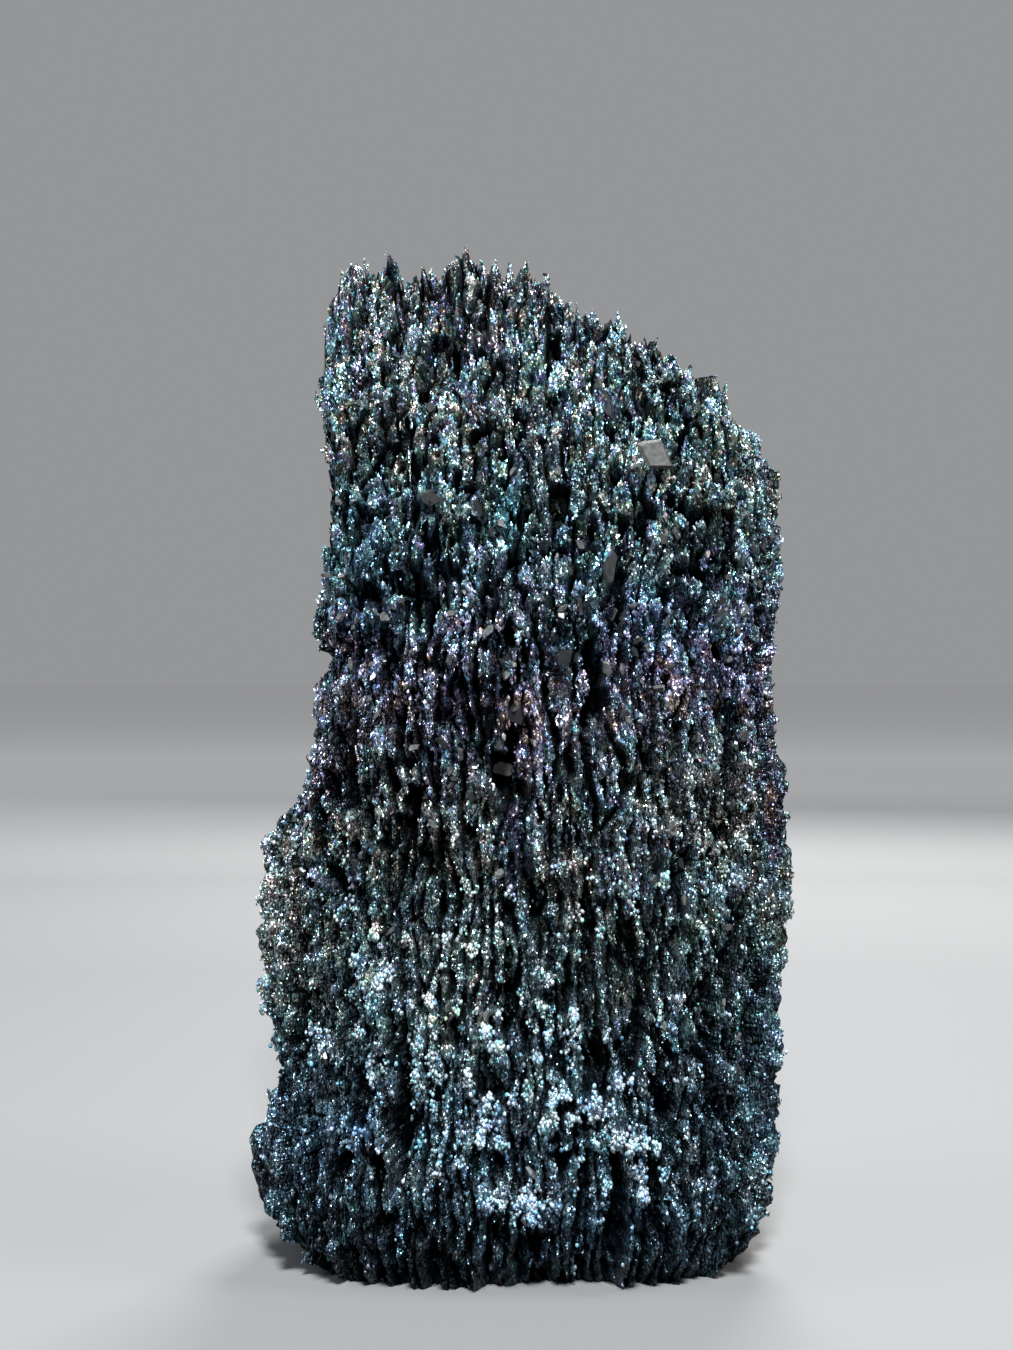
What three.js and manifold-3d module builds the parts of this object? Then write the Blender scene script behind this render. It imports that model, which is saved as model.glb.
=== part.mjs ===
// Silicon carbide cluster: one upright mass of grown-together columnar crystals.
// Millimetres, +Z up. The origin is at the middle of the flat base, and the front looks along -Y.

import * as THREE from 'three';
import Module from 'manifold-3d';

const wasm = await Module();
wasm.setup();

// ---- Driving dimensions ----

// Outlines of the mass: how far its crystals reach at each height.
// Left and right sides as [z, x], front and back as [z, y].
const LEFT_SIDE = [
  [0, -35], [4, -40], [9, -45], [18, -46.6], [27, -43.2], [33, -42.3], [44, -43.8],
  [62, -44.4], [71, -43.2], [79, -38.2], [86, -36.2], [97, -35.4], [101.5, -32.2],
  [106, -35.4], [115, -33.8], [128, -32.6], [142, -34.8], [153, -36], [163, -35],
];
const RIGHT_SIDE = [
  [0, 39.5], [6, 43], [14, 44.4], [33, 44.2], [50, 46.4], [66, 47.2], [76, 46],
  [89, 46.5], [103, 44.8], [114, 45.5], [135, 45.2], [148, 43.5],
];
const FRONT_SIDE = [[0, -25], [10, -28.5], [34, -29], [58, -27.2], [90, -26.4], [112, -27], [135, -26]];
const BACK_SIDE = [[0, 24.5], [20, 27.5], [60, 28.5], [105, 27], [140, 25.5], [170, 22]];

// The crown: the skyline over the back columns, and the ridge where the front columns end, as [x, z].
const SKYLINE = [
  [-36, 165], [-31, 171], [-26, 175.5], [-22, 172], [-15, 170.5], [-10, 175], [-3, 174],
  [4, 169.5], [11, 164], [19, 162.5], [25, 158], [33, 153.5], [41, 147], [46, 141],
];
const RIDGE = [[-36, 126], [-22, 130], [6, 130], [17, 128], [29, 125], [38, 120], [46, 114]];
const RIDGE_DEPTH = -25;
const CROWN_SLOPE = 1.22;
const BACK_FALL = 0.32;
const BACK_FALL_FROM = 8;

// The plan: how square the oval is, and how closely the columns near its edge follow the outlines.
const PLAN_POWER = 2.7;
const EDGE_HOLD = 3.5;
const PLAN_GIRTH = 250;
const PLAN_WIDTH = 94;
const PLAN_DEPTH = 58;

// The wall's columns: their number, the shortest and longest lengths they break into, how much
// their faces differ in depth and stand past the outline, and the taper at the head of each length.
const COLUMNS_AROUND = 48;
const LINE_SPACING = PLAN_GIRTH / (COLUMNS_AROUND * 3);
const COLUMN_LENGTH = [9, 28];
const COLUMN_END = 7;
const COLUMN_RELIEF = 3.2;
const COLUMN_REACH = 0.3;
const TIP_TAPER = [2, 4.6];
const TIP_INSET = 1.5;
const GROOVE_DEPTH = 4.6;
const GROOVE_STEP = 26;
const EDGE_RUN = 0.9;
const BEND_LEFT_OUT = 0.5;
const WALL_TOP_SINK = 30;

// The crown's spires: spacing, height, and the bed that they stand on.
const SPIRE_PITCH = 5.3;
const SPIRE_RISE = 6.8;
const SPIRE_POINT = 2.2;
const SPIRE_LEAN = 0.9;
const BED_THICKNESS = 9;
const BED_INSET = 4.8;

// Deep gaps between the front columns, as [x, z, width, height].
const FRONT_GAPS = [
  [-19.4, 113.9, 6.8, 3.2], [-17, 108.9, 2.6, 7], [-24.9, 125, 2.6, 3.6], [2.4, 117.6, 3.2, 4.4],
  [-25.4, 110.8, 2, 15], [11.8, 97.3, 2.6, 18], [31.4, 119.6, 2.2, 9], [18.1, 122.3, 4, 3],
  [10.5, 121, 4.4, 3.6], [-32.5, 65.3, 2.6, 5.4], [-14.7, 64, 2.2, 7.4], [-18.2, 78.5, 2.4, 5],
  [3, 62.9, 3, 6], [32.2, 45.8, 2, 15], [-19.9, 25.6, 3.2, 21], [-29.5, 20, 2.8, 7],
  [-2.4, 83.2, 6.4, 5.2], [24.6, 31, 2, 8.4],
];
const GAP_DEPTH = 5.5;

// Flat plate crystals lying on the front, as [x, z, width, height, turn about the view line].
const FRONT_PLATES = [
  [22.6, 134.5, 6.4, 4, -0.7], [-14.9, 127, 5, 3.2, 0.1], [-6.7, 125.6, 3.2, 5, 0.2],
  [31.9, 110, 4, 4.6, 0.5], [28, 112.2, 3.2, 3, -0.3], [6.7, 101.6, 3.2, 3.2, 0.6],
  [-2.4, 83.2, 5, 3.4, 0.2], [34.8, 33.7, 3.4, 4.6, 0.1], [14, 116, 3, 6.2, 0.15],
];
const PLATE_THICKNESS = 2;

// Knots of crystals where the front columns swell, as [x, z, width, height].
const FRONT_KNOTS = [
  [1.6, 15, 8, 9], [-6, 17, 4, 6], [19.6, 17.6, 5, 6], [26, 24.5, 7, 6], [19, 26.5, 6, 6],
  [11.5, 31.5, 6, 7], [4, 31, 5, 6], [8.6, 43.4, 5, 6], [-9, 46, 6, 8], [-23, 47, 6, 7],
  [-29, 39, 6, 8], [-25, 27, 5, 8], [-11, 21, 4, 8], [37.5, 14, 5, 7], [4, 52.5, 5, 6],
  [15, 67, 7, 7], [-12, 74, 5, 6], [25, 73, 6, 6], [-24, 88, 5, 6], [-6, 103, 6, 8],
  [22, 88, 6, 8], [-27, 117.5, 5, 6], [-10, 121, 5, 7], [6, 111.5, 5, 7], [24, 117, 5, 7],
];
const KNOT_RISE = 1.9;

// ---- Repeatable scatter ----

// A fixed number between 0 and 1 for each pair of whole numbers.
function scatter(i, j) {
  const s = Math.sin(i * 12.9898 + j * 78.233) * 43758.5453;
  return s - Math.floor(s);
}

// The same, between -size and +size.
function jitter(i, j, size) {
  return (scatter(i, j) * 2 - 1) * size;
}

// A fixed number inside a range.
function between([low, high], i, j) {
  return low + (high - low) * scatter(i, j);
}

// ---- The envelope that the crystals grow to ----

function along(table, at) {
  if (at <= table[0][0]) return table[0][1];
  for (let i = 1; i < table.length; i++) {
    const [a, va] = table[i - 1];
    const [b, vb] = table[i];
    if (at <= b) return va + (vb - va) * (at - a) / (b - a);
  }
  return table[table.length - 1][1];
}

// One side's reach at one height. Near the middle (side = 0) it keeps the widest reach, so the
// columns there stand straight; towards the edge (side = 1) it follows the outline.
function sideReach(table, z, side, inset) {
  const widest = table.reduce((far, [, v]) => (Math.abs(v) > Math.abs(far) ? v : far), 0);
  const bend = (along(table, z) - widest) * side ** EDGE_HOLD;
  return (widest - Math.sign(widest) * inset) * side + bend;
}

// A point of the plan outline at one height: an oval squared off by PLAN_POWER.
function planPoint(angle, z, inset) {
  const c = Math.cos(angle);
  const s = Math.sin(angle);
  const reach = Math.pow(Math.abs(c) ** PLAN_POWER + Math.abs(s) ** PLAN_POWER, -1 / PLAN_POWER);
  const x = sideReach(c < 0 ? LEFT_SIDE : RIGHT_SIDE, z, Math.abs(c) * reach, inset);
  const y = sideReach(s < 0 ? FRONT_SIDE : BACK_SIDE, z, Math.abs(s) * reach, inset);
  return [x, y];
}

// Whether a point lies inside the plan at one height, at least inset from its edge.
function inPlan(x, y, z, inset) {
  const u = Math.abs(x) / (Math.abs(along(x < 0 ? LEFT_SIDE : RIGHT_SIDE, z)) - inset);
  const v = Math.abs(y) / (Math.abs(along(y < 0 ? FRONT_SIDE : BACK_SIDE, z)) - inset);
  return u ** PLAN_POWER + v ** PLAN_POWER < 1;
}

// The height that the crystal tips reach over one point of the plan.
function crownHeight(x, y) {
  const slope = along(RIDGE, x) + (y - RIDGE_DEPTH) * CROWN_SLOPE;
  const top = along(SKYLINE, x) - Math.max(0, y - BACK_FALL_FROM) * BACK_FALL;
  return Math.min(slope, top);
}

// The depth of the front face behind one point of the front view.
function frontFace(x, z) {
  const u = Math.min(0.97, Math.abs(x / along(x < 0 ? LEFT_SIDE : RIGHT_SIDE, z)));
  const wall = along(FRONT_SIDE, z) * Math.pow(1 - u ** PLAN_POWER, 1 / PLAN_POWER);
  const crown = RIDGE_DEPTH + (z - along(RIDGE, x)) / CROWN_SLOPE;
  return Math.max(wall, crown);
}

// ---- Closed solids ----

function solid(points, faces) {
  const used = [...new Set(faces)];
  const place = new Map(used.map((p, n) => [p, n]));
  return new wasm.Manifold(new wasm.Mesh({
    numProp: 3,
    vertProperties: new Float32Array(used.flatMap((p) => points[p])),
    triVerts: new Uint32Array(faces.map((p) => place.get(p))),
  }));
}

// A closed skin over rings of points, all with the same number of sides, with a point at each end.
function lofted(foot, rings, tip) {
  const sides = rings[0].length;
  const points = [foot, ...rings.flat(), tip];
  const last = points.length - 1;
  const faces = [];
  for (let k = 0; k < sides; k++) {
    const next = (k + 1) % sides;
    faces.push(0, 1 + next, 1 + k);
    for (let r = 0; r + 1 < rings.length; r++) {
      const low = 1 + r * sides;
      const high = low + sides;
      faces.push(low + k, low + next, high + next);
      faces.push(low + k, high + next, high + k);
    }
    faces.push(last - sides + k, last - sides + next, last);
  }
  return solid(points, faces);
}

// ---- The wall: outer columns side by side, each broken into lengths whose ends make the ledges ----

// Angles that space points evenly round the plan outline.
function evenAngles(count) {
  const steps = 720;
  const lengths = [0];
  for (let k = 1; k <= steps; k++) {
    const a = planPoint((k - 1) * 2 * Math.PI / steps, 60, 0);
    const b = planPoint(k * 2 * Math.PI / steps, 60, 0);
    lengths.push(lengths[k - 1] + Math.hypot(b[0] - a[0], b[1] - a[1]));
  }
  const angles = [];
  for (let n = 0; n < count; n++) {
    const goal = lengths[steps] * n / count;
    const k = lengths.findIndex((v) => v > goal) - 1;
    const part = (goal - lengths[k]) / (lengths[k + 1] - lengths[k]);
    angles.push((k + part) * 2 * Math.PI / steps);
  }
  return angles;
}

// The heights where any of the outlines bends.
const BENDS = [LEFT_SIDE, RIGHT_SIDE, FRONT_SIDE, BACK_SIDE].flat().map(([z]) => z).sort((a, b) => a - b);

// A line up the wall at one angle, through stations [z, inset, shift in angle], with the outline's
// bends kept.
function wallLine(angle, stations) {
  const points = [];
  const place = (z, inset, shift) => [...planPoint(angle + shift, z, inset), z];
  stations.forEach(([z, inset, shift], n) => {
    points.push(place(z, inset, shift));
    if (n + 1 === stations.length) return;
    const [nextZ, nextInset, nextShift] = stations[n + 1];
    const goal = place(nextZ, nextInset, nextShift);
    for (const bend of BENDS) {
      if (bend <= z + 2 || bend >= nextZ - 2) continue;
      const here = points[points.length - 1];
      const t = (bend - z) / (nextZ - z);
      const [x, y] = place(bend, inset + (nextInset - inset) * t, shift + (nextShift - shift) * t);
      const s = (bend - here[2]) / (nextZ - here[2]);
      const off = Math.hypot(x - here[0] - (goal[0] - here[0]) * s, y - here[1] - (goal[1] - here[1]) * s);
      if (off > BEND_LEFT_OUT) points.push([x, y, bend]);
    }
  });
  return points;
}

// The front gaps and knots that one line crosses, as extra inset over a stretch of height.
function frontChanges(angle) {
  const [x, y] = planPoint(angle, 60, 0);
  if (y > 0) return [];
  const crossed = (list, extra) => list
    .filter(([fx, , width]) => Math.abs(x - fx) < Math.max(width, LINE_SPACING) / 2)
    .map(([, z, , height]) => [z - height / 2, z + height / 2, extra]);
  return [...crossed(FRONT_GAPS, GAP_DEPTH), ...crossed(FRONT_KNOTS, -KNOT_RISE)];
}

// Works the gaps and knots into a line's stations.
function withChanges(angle, stations) {
  let out = stations;
  const top = stations[stations.length - 1][0];
  for (const [low, high, extra] of frontChanges(angle)) {
    if (high + EDGE_RUN > top - 2 || low - EDGE_RUN < 2) continue;
    const from = insetAt(out, low);
    const to = insetAt(out, high);
    const below = out.filter(([z]) => z < low - EDGE_RUN - 0.6);
    const above = out.filter(([z]) => z > high + EDGE_RUN + 0.6);
    out = [
      ...below, [low - EDGE_RUN, from, 0], [low, from + extra, 0],
      [high, to + extra, 0], [high + EDGE_RUN, to, 0], ...above,
    ];
  }
  return out;
}

function insetAt(stations, z) {
  return along(stations.map(([height, inset]) => [height, inset]), z);
}

// One column's lengths, from the base up to the crown: [low, high, inset].
function columnBreaks(n, top) {
  const breaks = [];
  let low = 0;
  for (let part = 0; low < top - COLUMN_END; part++) {
    const seed = n * 17 + part * 5.3 + 1;
    let high = low + between(COLUMN_LENGTH, seed, 24);
    if (high > top - COLUMN_END) high = top;
    breaks.push([low, high, COLUMN_RELIEF * scatter(seed, 22) - COLUMN_REACH]);
    low = high;
  }
  return breaks;
}

// One side of a column's flat face, drawn in towards the column's middle at each tip.
function crestLine(angle, pinch, breaks, seed) {
  const stations = [];
  breaks.forEach(([low, high, inset], k) => {
    const foot = low + (k === 0 ? 0 : 0.9 + 1.6 * scatter(seed, k));
    const head = high + jitter(seed, k + 20, 1) - 1.2;
    const taper = between(TIP_TAPER, seed, k + 60);
    stations.push([foot, inset + 0.9, 0]);
    stations.push([head - taper, inset + jitter(seed, k + 40, 0.3), 0]);
    stations.push([head, inset + TIP_INSET, pinch / 2]);
  });
  return wallLine(angle, withChanges(angle, stations));
}

// The groove between two columns.
function grooveLine(angle, top, seed) {
  const stations = [[0, GROOVE_DEPTH, 0]];
  const count = Math.round(top / GROOVE_STEP);
  for (let k = 1; k <= count; k++) {
    const z = top * k / count - (k === count ? 6 : jitter(seed, k, 4));
    stations.push([z, GROOVE_DEPTH + jitter(seed, k + 11, 1.5), 0]);
  }
  return wallLine(angle, withChanges(angle, stations));
}

// Lines round the whole wall: a groove, then the two edges of a column's face, and so on.
function wallLines() {
  const angles = evenAngles(COLUMNS_AROUND * 3);
  const lines = [];
  for (let n = 0; n < COLUMNS_AROUND; n++) {
    const seed = n * 9 + 5;
    const [groove, first, second] = [0, 1, 2].map((k) => {
      const place = n * 3 + k;
      const step = 2 * Math.PI / angles.length;
      return angles[place] + jitter(place, 77, 0.3) * step;
    });
    const top = crownHeight(...planPoint((first + second) / 2, 130, 2));
    const breaks = columnBreaks(n, top - 7 * scatter(seed, 2) ** 1.5);
    const width = second - first;
    lines.push(grooveLine(groove, top, seed));
    lines.push(crestLine(first, width, breaks, seed + 0.3));
    lines.push(crestLine(second, -width, breaks, seed + 0.6));
  }
  return lines;
}

// The wall as a closed solid: neighbouring lines zipped together, with a flat base and a sunken top.
function wall() {
  const lines = wallLines();
  const starts = [];
  const points = [];
  for (const line of lines) {
    starts.push(points.length);
    points.push(...line);
  }
  const base = points.push([0, 0, 0]) - 1;
  const top = points.push([0, 0, crownHeight(0, 0) - WALL_TOP_SINK]) - 1;
  const faces = [];
  lines.forEach((line, n) => {
    const m = (n + 1) % lines.length;
    const next = lines[m];
    let a = 0;
    let b = 0;
    while (a + 1 < line.length || b + 1 < next.length) {
      const climbA = b + 1 === next.length || (a + 1 < line.length && line[a + 1][2] < next[b + 1][2]);
      if (climbA) {
        faces.push(starts[n] + a, starts[m] + b, starts[n] + a + 1);
        a++;
      } else {
        faces.push(starts[n] + a, starts[m] + b, starts[m] + b + 1);
        b++;
      }
    }
    faces.push(starts[m], starts[n], base);
    faces.push(starts[n] + a, starts[m] + b, top);
  });
  return solid(points, faces);
}

// ---- The crown: a bed of four-sided spires ----

function crownBed() {
  const columns = Math.ceil(PLAN_WIDTH / SPIRE_PITCH);
  const rows = Math.ceil(PLAN_DEPTH / SPIRE_PITCH);
  const x0 = -columns * SPIRE_PITCH / 2;
  const y0 = -rows * SPIRE_PITCH / 2;
  const points = [];
  const faces = [];
  const corner = (i, j) => {
    const x = x0 + (i + jitter(i * 7 + j * 3.1, 201, 0.3)) * SPIRE_PITCH;
    const y = y0 + (j + jitter(i * 5 + j * 4.3, 202, 0.3)) * SPIRE_PITCH;
    return [x, y, crownHeight(x, y) - SPIRE_RISE - 2 * scatter(i, j + 203)];
  };
  const grid = [];
  for (let j = 0; j <= rows; j++) {
    for (let i = 0; i <= columns; i++) grid.push(points.push(corner(i, j)) - 1);
  }
  const at = (i, j) => grid[j * (columns + 1) + i];
  const kept = (i, j) => {
    if (i < 0 || j < 0 || i >= columns || j >= rows) return false;
    const x = x0 + (i + 0.5) * SPIRE_PITCH;
    const y = y0 + (j + 0.5) * SPIRE_PITCH;
    return inPlan(x, y, Math.min(crownHeight(x, y), 150), BED_INSET);
  };
  const floors = new Map();
  const floorOf = (p) => {
    if (!floors.has(p)) {
      const [x, y, z] = points[p];
      floors.set(p, points.push([x, y, z - BED_THICKNESS]) - 1);
    }
    return floors.get(p);
  };
  for (let j = 0; j < rows; j++) {
    for (let i = 0; i < columns; i++) {
      if (!kept(i, j)) continue;
      const rim = [at(i, j), at(i + 1, j), at(i + 1, j + 1), at(i, j + 1)];
      faces.push(...spire(points, rim, i * 31 + j * 3));
      const under = rim.map(floorOf);
      faces.push(under[0], under[2], under[1], under[0], under[3], under[2]);
      [[0, -1], [1, 0], [0, 1], [-1, 0]].forEach(([di, dj], k) => {
        if (kept(i + di, j + dj)) return;
        const l = (k + 1) % 4;
        faces.push(rim[k], under[k], under[l], rim[k], under[l], rim[l]);
      });
    }
  }
  return solid(points, faces);
}

// The faces of one spire that rises from four rim points: a shaft, then a point.
function spire(points, rim, seed) {
  const middle = [0, 1, 2].map((k) => rim.reduce((sum, p) => sum + points[p][k], 0) / 4);
  const tall = SPIRE_RISE * (0.75 + 0.75 * scatter(seed, 301));
  const lean = [jitter(seed, 302, SPIRE_LEAN), jitter(seed, 303, SPIRE_LEAN)];
  const shoulder = rim.map((p, k) => {
    const size = 0.66 + 0.2 * scatter(seed, k + 304);
    const x = middle[0] + (points[p][0] - middle[0]) * size + lean[0] * 0.6;
    const y = middle[1] + (points[p][1] - middle[1]) * size + lean[1] * 0.6;
    return points.push([x, y, middle[2] + tall * (0.45 + 0.3 * scatter(seed, k + 310))]) - 1;
  });
  const tip = points.push([middle[0] + lean[0], middle[1] + lean[1], middle[2] + tall + SPIRE_POINT]) - 1;
  const faces = [];
  for (let k = 0; k < 4; k++) {
    const l = (k + 1) % 4;
    faces.push(rim[k], rim[l], shoulder[l], rim[k], shoulder[l], shoulder[k]);
    faces.push(shoulder[k], shoulder[l], tip);
  }
  return faces;
}

// Six-sided plates that lie flat against the front.
function plates() {
  return FRONT_PLATES.map(([x, z, width, height, turn], n) => {
    const y = frontFace(x, z);
    const leanY = jitter(n, 61, 0.25);
    const corners = (depth, size) => {
      const points = [];
      for (let k = 0; k < 6; k++) {
        const angle = k * Math.PI / 3;
        const u = width / 2 * size * Math.cos(angle);
        const w = height / 2 * size * Math.sin(angle) * 1.15;
        const px = u * Math.cos(turn) - w * Math.sin(turn);
        const pz = u * Math.sin(turn) + w * Math.cos(turn);
        points.push([x + px, y + depth + px * leanY, z + pz]);
      }
      return points;
    };
    const back = corners(PLATE_THICKNESS * 1.6, 0.75);
    const front = corners(-PLATE_THICKNESS * 0.5, 1);
    return lofted([x, y + PLATE_THICKNESS * 1.9, z], [back, front], [x, y - PLATE_THICKNESS * 0.52, z]);
  });
}

// The outermost closed skin of a mesh, without the skins of any sealed voids or loose chips.
function outerSkin(mesh) {
  const parent = Array.from({ length: mesh.numVert }, (_, i) => i);
  const root = (i) => {
    while (parent[i] !== i) {
      parent[i] = parent[parent[i]];
      i = parent[i];
    }
    return i;
  };
  for (let t = 0; t < mesh.triVerts.length; t += 3) {
    parent[root(mesh.triVerts[t])] = root(mesh.triVerts[t + 1]);
    parent[root(mesh.triVerts[t + 1])] = root(mesh.triVerts[t + 2]);
  }
  const counts = new Map();
  for (const v of mesh.triVerts) counts.set(root(v), (counts.get(root(v)) ?? 0) + 1);
  const main = [...counts].sort((a, b) => b[1] - a[1])[0][0];
  const faces = [];
  for (let t = 0; t < mesh.triVerts.length; t += 3) {
    if (root(mesh.triVerts[t]) === main) faces.push(...mesh.triVerts.slice(t, t + 3));
  }
  return faces;
}

function cluster() {
  const mesh = wasm.Manifold.union([wall(), crownBed(), ...plates()]).getMesh();
  const geometry = new THREE.BufferGeometry();
  geometry.setAttribute('position', new THREE.BufferAttribute(mesh.vertProperties, mesh.numProp));
  geometry.setIndex(outerSkin(mesh));
  geometry.computeBoundingBox();
  const middle = geometry.boundingBox.getCenter(new THREE.Vector3());
  geometry.translate(-middle.x, -middle.y, 0);
  return geometry;
}

const carbide = new THREE.MeshStandardMaterial({ color: 0x20262e, roughness: 0.35, metalness: 0.8 });
const body = new THREE.Mesh(cluster(), carbide);
body.name = 'silicon_carbide_cluster';

const part = new THREE.Group();
part.add(body);

export default part;
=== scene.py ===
"""Silicon carbide cluster: crust, spires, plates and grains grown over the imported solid."""

import itertools
import math
from functools import partialmethod

import bpy
import numpy as np
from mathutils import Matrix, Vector
from mathutils.bvhtree import BVHTree


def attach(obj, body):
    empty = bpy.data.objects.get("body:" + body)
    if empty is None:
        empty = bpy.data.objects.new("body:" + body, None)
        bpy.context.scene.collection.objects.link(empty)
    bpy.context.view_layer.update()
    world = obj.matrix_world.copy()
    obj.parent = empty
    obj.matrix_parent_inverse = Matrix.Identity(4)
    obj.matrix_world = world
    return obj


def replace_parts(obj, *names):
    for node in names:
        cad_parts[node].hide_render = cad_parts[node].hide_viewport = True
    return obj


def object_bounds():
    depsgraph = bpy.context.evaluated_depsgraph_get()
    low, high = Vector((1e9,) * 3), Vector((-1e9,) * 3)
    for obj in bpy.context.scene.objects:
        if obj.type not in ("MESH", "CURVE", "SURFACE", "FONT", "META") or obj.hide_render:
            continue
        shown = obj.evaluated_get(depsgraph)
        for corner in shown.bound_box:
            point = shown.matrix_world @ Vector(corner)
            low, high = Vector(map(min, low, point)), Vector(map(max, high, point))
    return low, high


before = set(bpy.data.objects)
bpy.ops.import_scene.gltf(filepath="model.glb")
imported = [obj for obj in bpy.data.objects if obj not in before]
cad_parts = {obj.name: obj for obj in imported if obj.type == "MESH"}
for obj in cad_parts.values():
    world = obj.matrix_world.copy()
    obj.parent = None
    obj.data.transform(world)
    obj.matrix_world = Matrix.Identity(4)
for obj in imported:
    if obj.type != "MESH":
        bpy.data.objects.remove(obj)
cad_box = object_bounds()

# ---- Sizes, in millimetres unless named otherwise ----

MM = 0.001
NODE = "silicon_carbide_cluster"
BODY = "root"

BOX_LOW = np.array(cad_box[0]) / MM
BOX_HIGH = np.array(cad_box[1]) / MM
HALF_PLAN = (BOX_HIGH - BOX_LOW)[:2] / 2
HEIGHT = BOX_HIGH[2]
PLAN_POWER = 2.7
BOX_MARGIN = 1.0

# Maps of the solid, and where the rays that measure it start and end.
MAP_STEP = 0.75
GIRDLE_POINTS = 6001
STAND_OFF = 15.0
RAY_REACH = STAND_OFF * 2.4
RAY_LOWEST = 0.05
SKY = HEIGHT + 5
BEFORE_FRONT = BOX_LOW[1] - 5
CROWN_LOWEST = 105.0
CROWN_EDGE = 2.0
LIP_START = 3.0
LIP_ROWS = 14
LEDGE_DROP = 9.0
LEDGE_STEPS = 4
RIM_STEPS = 2
RIM_DROP = 3.0
SLOPE_FOOT = 104.0
SLOPE_INSET = 2

# The wall's crust: its room before the solid, its upper lip, its rough zone and its undercut foot, and the
# painted shade of its base and low on its foot.
WALL_ROOM = 1.3
WALL_ROOM_WITHIN = 1.5
WALL_SWAY = 0.7
SOFT_FACE = 1.0
LIP_DEPTH = 3.0
LIP_SINK = 0.6
ROUGH_FROM = 62.0
ROUGH_OVER = 16.0
ROUGH_SWAY = 7.0
BASE_RELIEF = 0.35
BASE_RISE = 3.0
BASE_EDGE = 0.01
BASE_LIGHT = 0.3
FOOT_HEIGHT = 17.0
FOOT_UNDERCUT = 2.4
FOOT_UNEVEN = 0.6
FOOT_SHADE = 0.85
FRONT_FACING = -0.8
FRONT_HALF = 58.0

# The crown's crust and its front slope.
SKYLINE_EVENING = 0.8
SKYLINE_REACH = 14.0
SKYLINE_MOST = 8.0
SKYLINE_FREE = 0.8
SKYLINE_PRESS = 0.7
SLOPE_SWAY = (1.3, 1.5)
SLOPE_BLEND = 8.0
SLOPE_TUCK = 2.5
SLOPE_RISE = 0.45
SLOPE_GAPS = 0.7
SLOPE_JUMP = 9.0
SIDE_JUMP = 2.5
SIDE_FROM = 37.0
# Painted light over the whole front slope, and how much deeper the crown's and slope's crust is taken to lie
# for its painted shade.
SLOPE_LIGHT = 1.12
CROWN_DIMMER = 0.4
CROWN_OVERHANG = 1.0

# Distances between the grid points of each crust, and the share of them by which points stray.
FRONT_PITCH = 0.34
SLOPE_PITCH = 0.33
SIDE_PITCH = 0.52
CROWN_PITCH = 0.45
JITTER = 0.36

# Grains, pearls and plates: counts, sizes, proportions, places, how far they lean and stray, and the painted
# light and shade they take or follow.
FRONT_GRAINS = 24_000
SLOPE_GRAINS = 14_000
OTHER_GRAINS = 9_000
CROWN_GRAINS = 2_200
GRAIN_SIZE = (0.13, 0.36)
GRAIN_SHAPE = (0.9, 0.9, 1.9)
GRAIN_UNEVEN = (0.7, 1.25)
GRAIN_LEAN = 0.45
GRAIN_STAND = 0.45
GRAIN_STRAY = 0.1
GRAIN_ANYWHERE = 0.3
GRAIN_BY_GLOW = (0.6, 0.8)
GRAIN_LIGHT = (0.2, 0.8)
PEARLS = 1_700
PEARLS_BELOW = 80.0
PEARLS_FADE = 25.0
PEARL_GLOW = 0.15
PEARL_SIZE = (0.18, 0.42)
PEARL_SHAPE = (0.9, 0.9, 1.35)
PEARL_UNEVEN = (0.85, 1.15)
PEARL_LEAN = 0.35
PEARL_STAND = 0.5
PEARL_STRAY = 0.25
PEARL_LIGHT = (0.5, 0.5)
SMALL_PLATES = 900
PLATE_SIZE = (0.35, 1.4)
PLATE_ASPECT = (0.4, 0.8)
PLATE_LEAN = 0.55
PLATE_TURN = 0.7
PLATE_STAND = 0.15
PLATE_RARITY = 1.6
PLATE_THICKNESS = (0.12, 0.1)
PLATE_GLOW = 0.1
PLATES_ABOUT = (96.0, 30.0)
PLATES_ELSEWHERE = 0.12
LARGE_PLATE_HALF_THICKNESS = 0.3
LARGE_PLATE_TONES = (0.1, 0.6)

# How far round a large plate the crust is measured, and the share of it that may lie before the plate.
LARGE_PLATE_BED = (0.8, 0.3)

rng = np.random.default_rng(11)


# ---- Random sheets ----

# Where in its square a centre may lie, and a distance past any centre, in squares.
CENTRE_SPAN = (0.12, 0.88)
FAR = 9.0


class Cells:
    """Scattered centres, one to each square of a sheet that closes on itself."""

    def __init__(self, size, pitch):
        self.counts = np.maximum(np.round(np.array(size) / pitch).astype(int), 3)
        self.pitch = np.array(size) / self.counts
        self.centres = rng.uniform(*CENTRE_SPAN, (*self.counts, 2))
        self.values = rng.random((*self.counts, 4))
        self.shifts = rng.random(self.counts[0])

    def nearest(self, u, v):
        """How far the nearest centre is, how much farther the next column's, the way there and its values."""
        pu = u / self.pitch[0]
        iu = np.floor(pu).astype(int)
        first, columns = np.full(u.shape, FAR), []
        across, up = np.zeros(u.shape), np.zeros(u.shape)
        found = np.zeros((2, *u.shape), int)
        for a in (-1, 0, 1):
            cu = (iu + a) % self.counts[0]
            pv = v / self.pitch[1] + self.shifts[cu]
            iv = np.floor(pv).astype(int)
            best = np.full(u.shape, FAR)
            for b in (-1, 0, 1):
                cv = (iv + b) % self.counts[1]
                centre = self.centres[cu, cv]
                du, dv = pu - iu - a - centre[..., 0], pv - iv - b - centre[..., 1]
                far = np.hypot(du, dv)
                best = np.minimum(best, far)
                closer = far < first
                first = np.where(closer, far, first)
                across, up = np.where(closer, du, across), np.where(closer, dv, up)
                found = np.where(closer, np.stack([cu, cv]), found)
            columns.append(best)
        second = np.partition(np.stack(columns), 1, axis=0)[1]
        return first, second - first, across, up, self.values[found[0], found[1]]


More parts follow.
